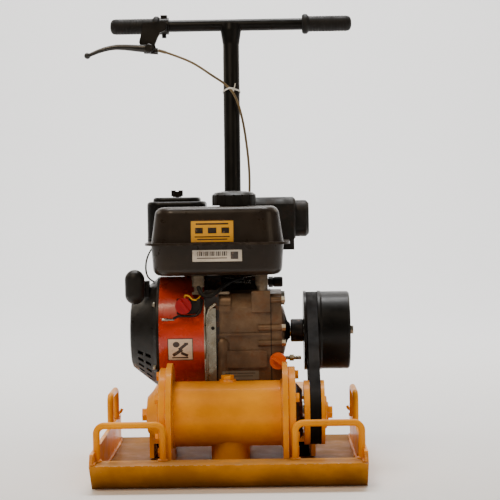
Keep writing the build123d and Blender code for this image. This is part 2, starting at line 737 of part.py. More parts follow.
def recoil_cover():
    """Conical plastic starter cover with air slots, a rope guide and the reel's pin."""
    outline = [
        (-114, 92), (-119, 92), (-124, 87), (-157, 61), (-162, 57), (-164, 52), (-164, 0),
        (-161, 0), (-161, 51), (-158, 56), (-123, 83), (-118, 86), (-114, 86),
    ]
    cover = turned_x(outline, CRANK_Y, CRANK_Z)
    for x in (-151, -138):
        cover = slotted(cover, AIR_SLOTS, AIR_SLOT_STEP, CRANK_Y, CRANK_Z, 62, 84, x, x + 9, AIR_SLOT_FIRST)
    guide = block(-158, -132, -10, 16, 262, 306) - rod_x(80, -170, -110, CRANK_Y, CRANK_Z)
    guide = guide - rod_y(4, -12, 18, -145, 298)
    return cover + guide + rod_x(8, -162, -122, CRANK_Y, CRANK_Z)


def starter_reel():
    """Grooved rope reel on the cover's pin."""
    outline = [
        (-146, 8.1), (-125, 8.1), (-125, 52), (-128, 52), (-130, 44), (-141, 44), (-143, 52), (-146, 52),
    ]
    return turned_x(outline, CRANK_Y, CRANK_Z)


def starter_grip():
    """T-shaped pull grip with a tapered neck."""
    bar = rod_z(GRIP_BAR_R, 286, 310, -153, -33)
    for z in (286, 310):
        bar = bar + Pos(-153, -33, z) * Sphere(GRIP_BAR_R)
    neck = rod_y(7.5, -33, -12, -145, 298)
    return bar + neck


def switch_base():
    """Black base of the stop switch on the curved housing."""
    base = block(-84, -46, -62, -34, 255, 279)
    return base - rod_x(HOUSING_R, -120, -30, CRANK_Y, CRANK_Z)


def stop_switch():
    """Round knob with a raised grip bar."""
    knob = rod_y(13, -72, -62.3, KNOB_X, KNOB_Z)
    return knob + Pos(KNOB_X, -75, KNOB_Z) * Rot(0, 55, 0) * Box(25, 8, 6)


# ---------------------------------------------------------------- fuel tank

TANK_X = -18.0
TANK_Y = 2.5
TANK_W = 214.0
TANK_D = 150.0
SEAM_Z = 367.0
TANK_TOP = 426.0
TANK_LOW = 316.0
FILLER_X = 9.0
FILLER_Y = 2.5
FILLER_R = 24.0


def rounded_form(width, depth, height, corner, z, taper):
    """Rounded rectangle drawn up from a height, narrowing by the taper in degrees."""
    face = Pos(TANK_X, TANK_Y, z) * RectangleRounded(width, depth, corner)
    return extrude(face, height, taper=taper)


def tank_upper():
    """Upper pressed shell with its seam flange and filler neck."""
    height = TANK_TOP - SEAM_Z
    outer = rounded_form(TANK_W, TANK_D, height, 38, SEAM_Z, 8)
    outer = fillet(outer.faces().sort_by(Axis.Z)[-1].edges(), 13)
    inner = rounded_form(TANK_W - 5, TANK_D - 5, height - 2.5, 36, SEAM_Z, 8)
    inner = fillet(inner.faces().sort_by(Axis.Z)[-1].edges(), 11)
    flange = rounded_form(TANK_W + 20, TANK_D + 25, 2, 46, SEAM_Z, 0)
    neck = rod_z(FILLER_R, TANK_TOP - 3, TANK_TOP + 8, FILLER_X, FILLER_Y)
    shell = (outer + flange + neck) - inner
    return shell - rod_z(FILLER_R - 2.5, TANK_TOP - 8, TANK_TOP + 9, FILLER_X, FILLER_Y)


def tank_lower():
    """Lower pressed shell with its seam flange."""
    height = SEAM_Z - TANK_LOW
    outer = Pos(TANK_X, TANK_Y, SEAM_Z) * RectangleRounded(TANK_W, TANK_D, 34)
    inner = Pos(TANK_X, TANK_Y, SEAM_Z) * RectangleRounded(TANK_W - 5, TANK_D - 5, 32)
    shell = extrude(outer, -height, taper=4)
    shell = fillet(shell.faces().sort_by(Axis.Z)[0].edges(), 12)
    space = extrude(inner, -(height - 2.5), taper=4)
    space = fillet(space.faces().sort_by(Axis.Z)[0].edges(), 10)
    flange = rounded_form(TANK_W + 20, TANK_D + 25, 2, 46, SEAM_Z - 2, 0)
    return (shell + flange) - space


def fuel_cap():
    """Domed cap with a skirt round the filler neck and grip notches in its rim."""
    outline = [
        (0, 451), (20, 450.5), (31, 448.5), (36, 444.5), (36, 427.5), (26, 427.5),
        (26, 441), (0, 441),
    ]
    cap = turned_z(outline, FILLER_X, FILLER_Y)
    for i in range(16):
        angle = radians(i * 22.5)
        cap = cap - rod_z(2.2, 427, 446, FILLER_X + 37.2 * cos(angle), FILLER_Y + 37.2 * sin(angle))
    return cap


def tank_posts():
    """Four spacers under the tank, the front ones with a bolt head below, the left one on an arm."""
    posts = []
    for x, seat in ((-50, 289), (52.5, 290)):
        posts.append(rod_z(9.5, seat + 8, TANK_LOW, x, -41) + hex_z(12, seat, seat + 8, x, -41))
    arm = block(-60, 0, -46, -36, 285, 289)
    posts[0] = posts[0] + arm
    posts.append(rod_z(9.5, HOUSING_CROWN, TANK_LOW, -62, 50))
    posts.append(rod_z(9.5, CASE_TOP, TANK_LOW, 52.5, 50))
    return group(*posts)


# ---------------------------------------------------------------- air, exhaust and control

CLEANER_X = -92.0
CLEANER_Y = 145.0
CLEANER_BASE = 360.0
CLEANER_TOP = 442.0
NUT_X = -92.0


def air_cleaner_base():
    """Tray with the stud that holds element and cover."""
    tray = round_slab_z(-142, -42, 95, 195, CLEANER_BASE, 372, 22)
    return tray + rod_z(3, 371, 452, NUT_X, CLEANER_Y) - rod_z(14, 359, 373, -64, 158)


def air_filter_element():
    """Ring of filter foam."""
    ring = rod_z(37, 372, 424, CLEANER_X, CLEANER_Y)
    return ring - rod_z(20, 371, 425, CLEANER_X, CLEANER_Y)


def air_cleaner_cover():
    """Deep cover with a stepped top."""
    low = round_slab_z(-142, -42, 95, 195, 372.4, 435, 24)
    low = fillet(low.faces().sort_by(Axis.Z)[-1].edges(), 6)
    step = round_slab_z(-132, -52, 105, 185, 430, CLEANER_TOP, 20)
    step = fillet(step.faces().sort_by(Axis.Z)[-1].edges(), 5)
    space = round_slab_z(-139, -45, 98, 192, 370, 428, 21) + round_slab_z(-129, -55, 108, 182, 428, 439, 17)
    return (low + step) - space - rod_z(3.4, 435, 445, NUT_X, CLEANER_Y)


def wing_nut():
    """Black wing nut on the stud."""
    hub = rod_z(7.5, 442.4, 450, NUT_X, CLEANER_Y) + block(NUT_X - 10, NUT_X + 10, 143.2, 146.8, 444, 454)
    return hub - rod_z(3.05, 442, 457, NUT_X, CLEANER_Y)


def carburettor():
    """Carburettor body with its intake stub and riser."""
    body = round_slab_z(-82, -45, 137, 179, 303, 346, 8)
    body = body + rod_x(11, -45, -18.2, 160, 312) + rod_z(13, 346, CLEANER_BASE, -64, 158)
    body = body + rod_y(9, 179, 186, -64, 324)
    return body


def muffler():
    """Black pressed muffler box with its inlet pipe."""
    box = round_slab_x(5, 111, 100, 195, 366, 440, 26)
    box = chamfer(box.faces().sort_by(Axis.X)[-1].edges(), 4)
    return box + rod_z(12, PORT_LOW, 368, *PORT_SPOT)


def muffler_outlet():
    """Deflector on the outer end of the muffler."""
    hood = round_slab_x(111, 134, 112, 182, 372, 434, 20)
    return chamfer(hood.faces().sort_by(Axis.X)[-1].edges(), 5)


def muffler_shield():
    """Bent sheet guard over the front and lower side of the muffler."""
    sheet = block(8, 108, 95, 96.5, 352, 428) + block(8, 108, 95, 120, 350.5, 352)
    return sheet


ARM_X = 5.0
ARM_Y = 128.0


def control_bracket():
    """Plate and leg that carry the throttle arm and the end of the cable."""
    plate = block(-30, 20, 83, 152, 345, 348) + block(-10, 20, 83, 87, CASE_TOP, 348)
    plate = plate + block(-36, 60, 83, 87, CASE_TOP, 318)
    plate = plate + block(-28, -16, 145.5, 150, 348, 354.4)
    return plate + rod_z(5, 348, 351.6, ARM_X, ARM_Y) + rod_z(2.5, 351, 358, ARM_X, ARM_Y)


def throttle_arm():
    """Small lever that the cable pulls."""
    edges = Pos(ARM_X, ARM_Y) * Circle(7) + Pos(-22, ARM_Y) * Circle(4.5)
    face = make_hull(edges.edges())
    arm = Pos(0, 0, 352) * extrude(face, 3) + rod_z(2.4, 355, 360, -22, ARM_Y)
    return arm - rod_z(2.55, 350, 356, ARM_X, ARM_Y)


def oil_filler_cap():
    """Round cap with a wing to turn it by."""
    cap = rod_y(13.5, -58, -50.3, 77, 177)
    wing = Pos(77, -62, 177) * Rot(0, 35, 0) * Box(21, 9, 4)
    return cap + wing


# ---------------------------------------------------------------- handle

COLUMN_LEAN = degrees(atan2(BAR_Y - PIVOT_Y, BAR_Z - PIVOT_Z))
COLUMN_LEN = sqrt((BAR_Y - PIVOT_Y) ** 2 + (BAR_Z - PIVOT_Z) ** 2)
EYE_R = 17.0
EYE_HALF = 21.5
BOLT_R = 8.0


def leaned(shape):
    """Turn a shape drawn up +Z from the pivot onto the column's leaning axis."""
    return Pos(0, PIVOT_Y, PIVOT_Z) * Rot(-COLUMN_LEAN, 0, 0) * shape


def handle_bracket():
    """Two ears welded on the rear of the floor."""
    outline = [
        (168, FLOOR_T), *REAR_LIP_TOP, (262, 44), (270, 60), (262, 76),
        (244, 80), (186, 34), (168, 22),
    ]
    ear = slab_x(outline, EYE_HALF + 0.5, EYE_HALF + 8.5)
    ear = ear - rod_x(BOLT_R, 0, 60, PIVOT_Y, PIVOT_Z)
    return group(ear, mirrored_x(ear))


def pivot_bolt():
    """Bolt, head and nut of the handle pivot."""
    end = EYE_HALF + 8.5
    bolt = rod_x(BOLT_R, -end, end + 11, PIVOT_Y, PIVOT_Z)
    head = hex_x(24, -end - 9, -end, PIVOT_Y, PIVOT_Z)
    return bolt + head + hex_x(24, end, end + 9, PIVOT_Y, PIVOT_Z)


def handle_column():
    """Tube from the pivot eye to the bar, flared where it meets the bar."""
    eye = leaned(rod_x(EYE_R, -EYE_HALF, EYE_HALF, 0, 0))
    tube = leaned(rod_z(COLUMN_R, 0, COLUMN_LEN, 0, 0))
    flare = leaned(turned_z([(0, COLUMN_LEN - 38), (15, COLUMN_LEN - 38), (19, COLUMN_LEN - 12),
                             (19, COLUMN_LEN), (0, COLUMN_LEN)], 0, 0))
    body = eye + tube + flare - leaned(rod_z(COLUMN_R - 2.6, EYE_R + 6, COLUMN_LEN - 4, 0, 0))
    body = body - rod_x(TBAR_R, -60, 60, BAR_Y, BAR_Z)
    body = body - rod_x(BOLT_R + 0.05, -60, 60, PIVOT_Y, PIVOT_Z)
    return body.solids().sort_by(SortBy.VOLUME)[-1]


def handle_bar():
    """Tube across the top of the column."""
    bar = rod_x(TBAR_R, -TBAR_HALF, TBAR_HALF, BAR_Y, BAR_Z)
    return bar - rod_x(TBAR_R - 2.2, -TBAR_HALF - 1, TBAR_HALF + 1, BAR_Y, BAR_Z)


def handle_grips():
    """Rubber grips with a round collar at the inner end."""
    inner = TBAR_HALF + 4 - GRIP_LEN
    outline = [
        (inner, TBAR_R), (inner, 16.5), (inner + 3, 18.7), (inner + 9, 18.7), (inner + 13, 14.5),
        (TBAR_HALF, 14), (TBAR_HALF + 4, 10), (TBAR_HALF + 4, 0), (TBAR_HALF, 0), (TBAR_HALF, TBAR_R),
    ]
    grip = turned_x(outline, BAR_Y, BAR_Z)
    return group(grip, mirrored_x(grip))


LEVER_X = -150.0
LEVER_Z = 716.0
LEVER_Y = 344.6


def prism_y(outline, y0, y1):
    """Plate across Y; the outline is (x, z) points."""
    face = make_face(Polyline(*[(x, 0, z) for x, z in outline], close=True))
    return Pos(0, y0, 0) * extrude(face, y1 - y0, dir=(0, 1, 0))


def lever_clamp():
    """Band round the bar with a bracket that reaches down to the lever pivot."""
    band = rod_x(15.5, -131.5, -115, BAR_Y, BAR_Z) - rod_x(TBAR_R, -140, -110, BAR_Y, BAR_Z)
    lug = block(-130, -118, 368, 382, 773, 780) + block(-128, -120, 371, 379, 738, 746)
    outline = [(-160, 764), (-118, 766), (-120, 750), (-131, 745), (-140, 724), (-134, 706), (-160, 708), (-169, 728)]
    arm = prism_y(outline, 345, 356)
    web = block(-131.5, -118, 350, 363.5, 749, 765)
    screw = rod_y(4, 331, 346, LEVER_X, LEVER_Z) + rod_y(7, 328, 331, LEVER_X, LEVER_Z)
    barrel = rod_x(4.5, -140, -134, 341, 712.5) + block(-140, -134, 341, 346, 708, 717)
    return band + (lug - rod_x(TBAR_R, -140, -110, BAR_Y, BAR_Z)) + arm + web + screw + barrel


LEVER_T = 9.0
LEVER_UPPER = [(-150, 724.6), (-182, 724.2), (-212, 724.7), (-243, 717.2), (-262, 709)]
LEVER_LOWER = [(-264, 700), (-244, 707.8), (-212, 714.4), (-180, 711.6), (-150, 707.4)]


def throttle_lever():
    """Curved hand lever with a ball tip."""
    outline = LEVER_UPPER + LEVER_LOWER
    y0 = LEVER_Y - LEVER_T
    blade = prism_y(outline, y0, LEVER_Y) + rod_y(8.6, y0, LEVER_Y, LEVER_X, LEVER_Z)
    blade = blade + rod_y(6.3, y0, LEVER_Y, -264, 704.5)
    return blade - rod_y(4.05, 320, 350, LEVER_X, LEVER_Z)


CABLE_R = 2.25
CABLE_ROUTE = [
    (-133.2, 341, 712.5), (-109, 338, 704.6), (-71, 335, 688.4), (-36, 332.5, 665.2), (-10.5, 331, 647),
    (7, 329, 625), (19, 327, 586), (27, 323, 534), (31, 318, 480), (29, 308, 430), (19, 284, 397),
    (2, 252, 377), (-13, 212, 366), (-20, 176, 360.5), (-22, 145, 357),
]


def route_radii(route):
    """Arc radius at each corner, as large as its two runs allow."""
    radii = []
    for before, here, after in zip(route, route[1:], route[2:]):
        first = Vector(*here) - Vector(*before)
        second = Vector(*after) - Vector(*here)
        half_turn = radians(first.get_angle(second)) / 2
        radii.append(0.45 * min(first.length, second.length) / tan(half_turn))
    return radii


def throttle_cable():
    """Outer cable from the lever's barrel to the throttle arm's clip."""
    radii = route_radii(CABLE_ROUTE)
    path = FilletPolyline(*CABLE_ROUTE, radius=radii)
    cable = sweep(Plane(origin=path @ 0, z_dir=path % 0) * Circle(CABLE_R), path=path)
    print("cable length", round(path.length, 1), "radii", [round(r) for r in radii])
    print("cable volume", round(cable.volume), "section x length", round(pi * CABLE_R ** 2 * path.length))
    return cable


TIE_X = -2.8
TIE_Y = -22.4


def cable_tie():
    """White tie round the column with a loop that holds the cable."""
    low = 582.0
    top = low + 3.0
    band = rod_z(17.2, low, top, 0, 0) + rod_z(7.6, low, top, TIE_X, TIE_Y)
    band = band - rod_z(5.8, low - 1, top + 1, TIE_X, TIE_Y) - rod_z(COLUMN_R, low - 1, top + 1, 0, 0)
    return leaned(band.solids().sort_by(SortBy.VOLUME)[-1])


# ---------------------------------------------------------------- nodes

def write_nodes():
    """Write every node as its own STEP file."""
    wall = side_wall()
    hook = hook_rod()
    front_lift = front_lift_handle()
    rear_lift = rear_lift_handle()
    nodes = {
        "base_plate": base_plate(),
        "side_walls": group(wall, mirrored_x(wall), hook, mirrored_x(hook)),
        "lifting_handles": group(front_lift, mirrored_x(front_lift), rear_lift, mirrored_x(rear_lift)),
        "exciter_tube": exciter_tube(),
        "exciter_supports": group(exciter_plates(), exciter_saddle()),
        "exciter_flanges": group(exciter_flange(-1), exciter_flange(1)),
        "exciter_fasteners": group(flange_bolts(), exciter_oil_plug()),
        "bearing_cover_left": bearing_cover_left(),
        "bearing_cover_right": bearing_cover_right(),
        "exciter_bearings": exciter_bearings(),
        "eccentric_shaft": group(exciter_shaft(), eccentric_weight()),
        "exciter_pulley": exciter_pulley(),
        "exciter_pulley_bolt": exciter_pulley_bolt(),
        "drive_belt": drive_belt(),
        "clutch_drum": clutch_drum(),
        "clutch_bearing": clutch_bearing(),
        "clutch_hub": clutch_hub(),
        "clutch_shoe_front": clutch_shoe(-1),
        "clutch_shoe_rear": clutch_shoe(1),
        "clutch_springs": clutch_springs(),
        "clutch_bolt": clutch_bolt(),
        "clutch_collar": clutch_collar(),
        "engine_bed": engine_bed(),
        "rubber_mounts": rubber_mounts(),
        "engine_fasteners": group(mount_nuts(), engine_bolts(), cover_bolts()),
        "crankcase": crankcase(),
        "side_cover": side_cover(),
        "shaft_seals": group(shaft_seal(), crank_seal()),
        "crankshaft": crankshaft(),
        "cylinder_head": cylinder_head(),
        "rocker_cover": rocker_cover(),
        "spark_plug": spark_plug(),
        "blower_housing": blower_housing(),
        "side_shroud": side_shroud(),
        "flywheel": flywheel(),
        "recoil_cover": recoil_cover(),
        "starter_reel": starter_reel(),
        "starter_grip": starter_grip(),
        "switch_base": switch_base(),
        "stop_switch": stop_switch(),
        "fuel_tank": group(tank_upper(), tank_lower()),
        "fuel_cap": fuel_cap(),
        "tank_posts": tank_posts(),
        "air_cleaner_base": air_cleaner_base(),
        "air_filter_element": air_filter_element(),
        "air_cleaner_cover": air_cleaner_cover(),
        "wing_nut": wing_nut(),
        "carburettor": carburettor(),
        "muffler": muffler(),
        "muffler_guards": group(muffler_outlet(), muffler_shield()),
        "control_bracket": control_bracket(),
        "throttle_arm": throttle_arm(),
        "oil_filler_cap": oil_filler_cap(),
        "handle_bracket": group(handle_bracket(), pivot_bolt()),
        "handle_frame": group(handle_column(), handle_bar()),
        "handle_grips": handle_grips(),
        "lever_clamp": lever_clamp(),
        "throttle_lever": throttle_lever(),
        "throttle_cable": throttle_cable(),
        "cable_tie": cable_tie(),
    }
    os.makedirs("parts", exist_ok=True)
    for name, shape in nodes.items():
        export_step(shape, f"parts/{name}.step")
    return nodes


NODES = write_nodes()
print(len(NODES), "nodes")
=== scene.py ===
"""Looks of the plate compactor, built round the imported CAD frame. Metres, +Z up."""
import math
import random

import bmesh
import bpy
from mathutils import Matrix, Vector, noise


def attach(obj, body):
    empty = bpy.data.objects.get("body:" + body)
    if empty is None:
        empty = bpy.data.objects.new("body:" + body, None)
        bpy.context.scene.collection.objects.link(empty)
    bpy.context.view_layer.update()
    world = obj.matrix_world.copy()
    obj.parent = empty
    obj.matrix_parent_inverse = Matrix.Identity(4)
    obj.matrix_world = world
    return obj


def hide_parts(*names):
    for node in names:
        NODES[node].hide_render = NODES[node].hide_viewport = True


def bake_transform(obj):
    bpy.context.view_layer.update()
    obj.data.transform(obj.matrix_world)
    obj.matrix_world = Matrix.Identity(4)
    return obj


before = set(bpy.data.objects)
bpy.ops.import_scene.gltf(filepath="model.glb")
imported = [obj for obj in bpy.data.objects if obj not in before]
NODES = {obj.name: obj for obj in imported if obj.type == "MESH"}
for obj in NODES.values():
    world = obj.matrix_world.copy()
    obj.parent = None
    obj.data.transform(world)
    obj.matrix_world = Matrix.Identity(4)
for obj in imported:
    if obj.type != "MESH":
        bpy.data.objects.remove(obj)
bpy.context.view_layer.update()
MM = 0.001
SEED = 7
RNG = random.Random(SEED)
noise.seed_set(SEED)  # without this, vector noise takes its offsets from the clock

# ------------------------------------------------------------------ camera and light

CAMERA_SPOT = (0.068, -2.667, 0.444)
CAMERA_PITCH = 1.93
CAMERA_YAW = 0.73
CAMERA_ROLL = -0.9
LENS = 117.4
SENSOR = 36.0
WARM = (1.0, 0.80, 0.57)
HALF_WARM = (1.0, 0.86, 0.68)
WORLD_COLOUR = (1.0, 0.90, 0.78, 1)
WORLD_STRENGTH = 0.15


def make_camera():
    """Long lens, low and straight in front of the machine."""
    data = bpy.data.cameras.new("view_camera")
    data.lens = LENS
    data.sensor_width = SENSOR
    camera = bpy.data.objects.new("view_camera", data)
    bpy.context.scene.collection.objects.link(camera)
    turn = Matrix.Rotation(math.radians(CAMERA_YAW), 4, "Z")
    turn = turn @ Matrix.Rotation(math.radians(90 - CAMERA_PITCH), 4, "X")
    turn = turn @ Matrix.Rotation(math.radians(CAMERA_ROLL), 4, "Z")
    camera.matrix_world = Matrix.Translation(CAMERA_SPOT) @ turn
    bpy.context.scene.camera = camera


def area_light(name, spot, target, size, power, colour=(1, 1, 1)):
    """Square soft light aimed at a point."""
    data = bpy.data.lights.new(name, "AREA")
    data.energy = power
    data.size = size
    data.color = colour
    light = bpy.data.objects.new(name, data)
    light.location = spot
    aim = Vector(target) - Vector(spot)
    light.rotation_euler = aim.to_track_quat("-Z", "Y").to_euler()
    bpy.context.scene.collection.objects.link(light)


def make_lights():
    """High soft key in front, a low fill, two rims from behind, a lit backdrop and a dim world."""
    area_light("key_light", (-0.9, -1.9, 2.7), (0, 0, 0.25), 1.1, 46, WARM)
    area_light("fill_right", (2.3, -1.5, 1.2), (0, 0, 0.3), 1.2, 7, WARM)
    area_light("rim_left", (-2.2, 1.1, 1.5), (0, 0, 0.4), 1.0, 9, HALF_WARM)
    area_light("rim_right", (2.0, 1.6, 1.6), (0, 0, 0.4), 1.0, 8, HALF_WARM)
    area_light("backdrop_light", (0, 1.6, 4.6), (0, 5.0, 0.8), 3.0, 420)
    world = bpy.data.worlds.new("studio_world")
    world.use_nodes = True
    background = world.node_tree.nodes["Background"]
    background.inputs["Color"].default_value = WORLD_COLOUR
    background.inputs["Strength"].default_value = WORLD_STRENGTH
    bpy.context.scene.world = world


# ------------------------------------------------------------------ materials

class Shade:
    """Small helper that wires one procedural material."""

    def __init__(self, name):
        self.material = bpy.data.materials.new(name)
        self.material.use_nodes = True
        self.tree = self.material.node_tree
        self.shader = self.tree.nodes["Principled BSDF"]
        coords = self.tree.nodes.new("ShaderNodeTexCoord")
        self.place = coords.outputs["Object"]
        self.geometry = self.tree.nodes.new("ShaderNodeNewGeometry")

    def link(self, source, target):
        self.tree.links.new(source, target)

    def node(self, kind, **inputs):
        made = self.tree.nodes.new(kind)
        for key, value in inputs.items():
            socket = made.inputs[key.replace("_", " ")]
            if isinstance(value, bpy.types.NodeSocket):
                self.link(value, socket)
            else:
                socket.default_value = value
        return made

    def noise(self, scale, detail=4.0, rough=0.55):
        made = self.node(
            "ShaderNodeTexNoise", Vector=self.place, Scale=scale, Detail=detail, Roughness=rough
        )
        return made.outputs["Fac"]

    def ramp(self, source, low, high, start=0.0, end=1.0):
        made = self.tree.nodes.new("ShaderNodeMapRange")
        made.interpolation_type = "SMOOTHSTEP"
        self.link(source, made.inputs["Value"])
        made.inputs["From Min"].default_value = low
        made.inputs["From Max"].default_value = high
        made.inputs["To Min"].default_value = start
        made.inputs["To Max"].default_value = end
        return made.outputs["Result"]

    def math(self, operation, a, b):
        made = self.tree.nodes.new("ShaderNodeMath")
        made.operation = operation
        for socket, value in zip(made.inputs, (a, b)):
            if isinstance(value, bpy.types.NodeSocket):
                self.link(value, socket)
            else:
                socket.default_value = value
        return made.outputs[0]

    def mix(self, factor, a, b):
        made = self.tree.nodes.new("ShaderNodeMix")
        made.data_type = "RGBA"
        for socket, value in ((made.inputs[0], factor), (made.inputs[6], a), (made.inputs[7], b)):
            if isinstance(value, bpy.types.NodeSocket):
                self.link(value, socket)
            elif isinstance(value, (int, float)):
                socket.default_value = value
            else:
                socket.default_value = (*value, 1.0)
        return made.outputs[2]

    def edges(self, radius, low, high):
        """Mask that is 1 on convex and concave edges."""
        bevel = self.tree.nodes.new("ShaderNodeBevel")
        bevel.samples = 4
        bevel.inputs["Radius"].default_value = radius
        dot = self.tree.nodes.new("ShaderNodeVectorMath")
        dot.operation = "DOT_PRODUCT"
        self.link(bevel.outputs[0], dot.inputs[0])
        self.link(self.geometry.outputs["Normal"], dot.inputs[1])
        return self.ramp(dot.outputs["Value"], high, low)

    def upward(self):
        """Mask that is 1 on faces that look up, where dust settles."""
        split = self.node("ShaderNodeSeparateXYZ", Vector=self.geometry.outputs["Normal"])
        return self.ramp(split.outputs["Z"], 0.55, 0.95)

    def height(self):
        split = self.node("ShaderNodeSeparateXYZ", Vector=self.place)
        return split.outputs["Z"]

    def bump(self, source, strength, distance):
        made = self.node("ShaderNodeBump", Height=source, Strength=strength, Distance=distance)
        old = self.shader.inputs["Normal"]
        if old.links:
            self.link(old.links[0].from_socket, made.inputs["Normal"])
        self.link(made.outputs[0], old)

    def finish(self, colour, roughness, metallic=0.0, coat=0.0, coat_roughness=0.1, specular=0.5):
        self.link(colour, self.shader.inputs["Base Color"])
        self.link(roughness, self.shader.inputs["Roughness"])
        self.shader.inputs["Metallic"].default_value = metallic
        self.shader.inputs["Coat Weight"].default_value = coat
        self.shader.inputs["Coat Roughness"].default_value = coat_roughness
        self.shader.inputs["Specular IOR Level"].default_value = specular
        return self.material


YELLOW = (1.0, 0.400, 0.0)
YELLOW_DEEP = (0.74, 0.260, 0.0)
DUSTY_YELLOW = (0.78, 0.305, 0.0)
DUSTY_YELLOW_DEEP = (0.44, 0.155, 0.0)
UNDERCOAT = (0.62, 0.50, 0.38)
SOIL = (0.34, 0.205, 0.085)
DRY_SOIL = (0.34, 0.175, 0.050)
# Tone the paint darkens to towards the ground.
LOW_DARK_TONE = (0.13, 0.060, 0.014)
FINE_DUST = (0.30, 0.24, 0.18)
ALLOY = (0.200, 0.122, 0.066)
ALLOY_DARK = (0.082, 0.047, 0.024)
ALLOY_OIL = (0.150, 0.058, 0.018)
GASKET_X = 66.5
GASKET_HALF = 0.8 * MM
GASKET_BLACK = (0.006, 0.006, 0.006)


def painted(
    name, base, deep, under, rough, dust, dust_colour, wear, coat, specular=0.4, ground=0.0
):
    """Sprayed paint: soft tone changes, chips on the edges, dust on top, and a darker tone towards the
    ground.
    """
    s = Shade(name)
    tone = s.mix(s.ramp(s.noise(9, 5), 0.35, 0.7), deep, base)
    tone = s.mix(s.math("MULTIPLY", s.ramp(s.noise(70, 6, 0.7), 0.52, 0.72), 0.35), tone, deep)
    chips = s.math("MULTIPLY", s.edges(1.6 * MM, 0.90, 0.985), s.ramp(s.noise(160, 4), 0.50, 0.60))
    specks = s.ramp(s.noise(330, 3), 0.745, 0.77)
    chips = s.math("MULTIPLY", s.math("MAXIMUM", chips, specks), wear)
    tone = s.mix(chips, tone, under)
    settled = s.math("MULTIPLY", s.upward(), s.ramp(s.noise(26, 6, 0.65), 0.30, 0.62, 0.35, 1.0))
    settled = s.math("MULTIPLY", settled, dust)
    tone = s.mix(settled, tone, dust_colour)
    # Darker towards the ground, fading out with a ragged edge up to about 58 mm.
    if ground:
        uneven = s.math("ADD", s.height(), s.math("MULTIPLY", s.noise(32, 6, 0.7), 16 * MM))
        low_dark = s.math("MULTIPLY", s.ramp(uneven, 8 * MM, 58 * MM, 1.0, 0.0), ground)
        tone = s.mix(low_dark, tone, LOW_DARK_TONE)
    gloss = s.ramp(s.noise(38, 5), 0.3, 0.75, rough - 0.07, rough + 0.12)
    gloss = s.math("ADD", gloss, s.math("MULTIPLY", settled, 0.4))
    s.bump(s.noise(520, 2), 0.05, 0.3 * MM)
    s.bump(s.noise(60, 3), 0.10, 0.8 * MM)
    return s.finish(tone, gloss, 0.0, coat, 0.12, specular)


def bare_metal(name, base, dark, rough, stain, stain_amount, metallic=1.0):
    """Plated or machined metal with streaks and stains."""
    s = Shade(name)
    tone = s.mix(s.ramp(s.noise(24, 5), 0.3, 0.7), dark, base)
    tone = s.mix(s.math("MULTIPLY", s.ramp(s.noise(60, 6, 0.7), 0.52, 0.68), stain_amount), tone, stain)
    gloss = s.ramp(s.noise(90, 5, 0.6), 0.3, 0.7, rough - 0.1, rough + 0.15)
    s.bump(s.noise(260, 4, 0.6), 0.12, 0.3 * MM)
    return s.finish(tone, gloss, metallic)


def cast_metal(name, base, dark, oil, rough, joint=None):
    """Cast alloy: fine grain, dark edges, brown oily dust, and a gasket line at X = joint."""
    s = Shade(name)
    tone = s.mix(s.ramp(s.noise(14, 6, 0.65), 0.32, 0.68), dark, base)
    tone = s.mix(s.math("MULTIPLY", s.ramp(s.noise(45, 6, 0.7), 0.48, 0.66), 0.6), tone, oil)
    tone = s.mix(s.math("MULTIPLY", s.edges(2.5 * MM, 0.85, 0.99), 0.35), tone, dark)
    if joint is not None:
        across = s.node("ShaderNodeSeparateXYZ", Vector=s.place).outputs["X"]
        off = s.math("ABSOLUTE", s.math("SUBTRACT", across, joint * MM), 0)
        tone = s.mix(s.math("LESS_THAN", off, GASKET_HALF), tone, GASKET_BLACK)
    gloss = s.ramp(s.noise(60, 5), 0.3, 0.7, rough - 0.12, rough + 0.15)
    s.bump(s.noise(900, 3, 0.7), 0.30, 0.35 * MM)
    s.bump(s.noise(120, 4), 0.18, 0.8 * MM)
    return s.finish(tone, gloss, 0.35)


def moulded(
    name, base, worn, rough, grain=1400.0, grain_depth=0.18, dust=0.15, coat=0.0, specular=0.22
):
    """Moulded plastic or rubber with a fine texture, rub marks and a little dust."""
    s = Shade(name)
    tone = s.mix(s.ramp(s.noise(18, 5), 0.40, 0.75), base, worn)
    rubbed = s.math("MULTIPLY", s.edges(1.5 * MM, 0.9, 0.99), s.ramp(s.noise(90, 4), 0.4, 0.65))
    tone = s.mix(s.math("MULTIPLY", rubbed, 0.5), tone, worn)
    settled = s.math("MULTIPLY", s.math("MULTIPLY", s.upward(), s.ramp(s.noise(30, 6), 0.3, 0.7)), dust)
    tone = s.mix(settled, tone, FINE_DUST)
    gloss = s.ramp(s.noise(50, 5), 0.3, 0.7, rough - 0.1, rough + 0.14)
    s.bump(s.noise(grain, 2), grain_depth, 0.2 * MM)
    s.bump(s.noise(25, 3), 0.08, 1.0 * MM)
    return s.finish(tone, gloss, 0.0, coat, 0.15, specular)


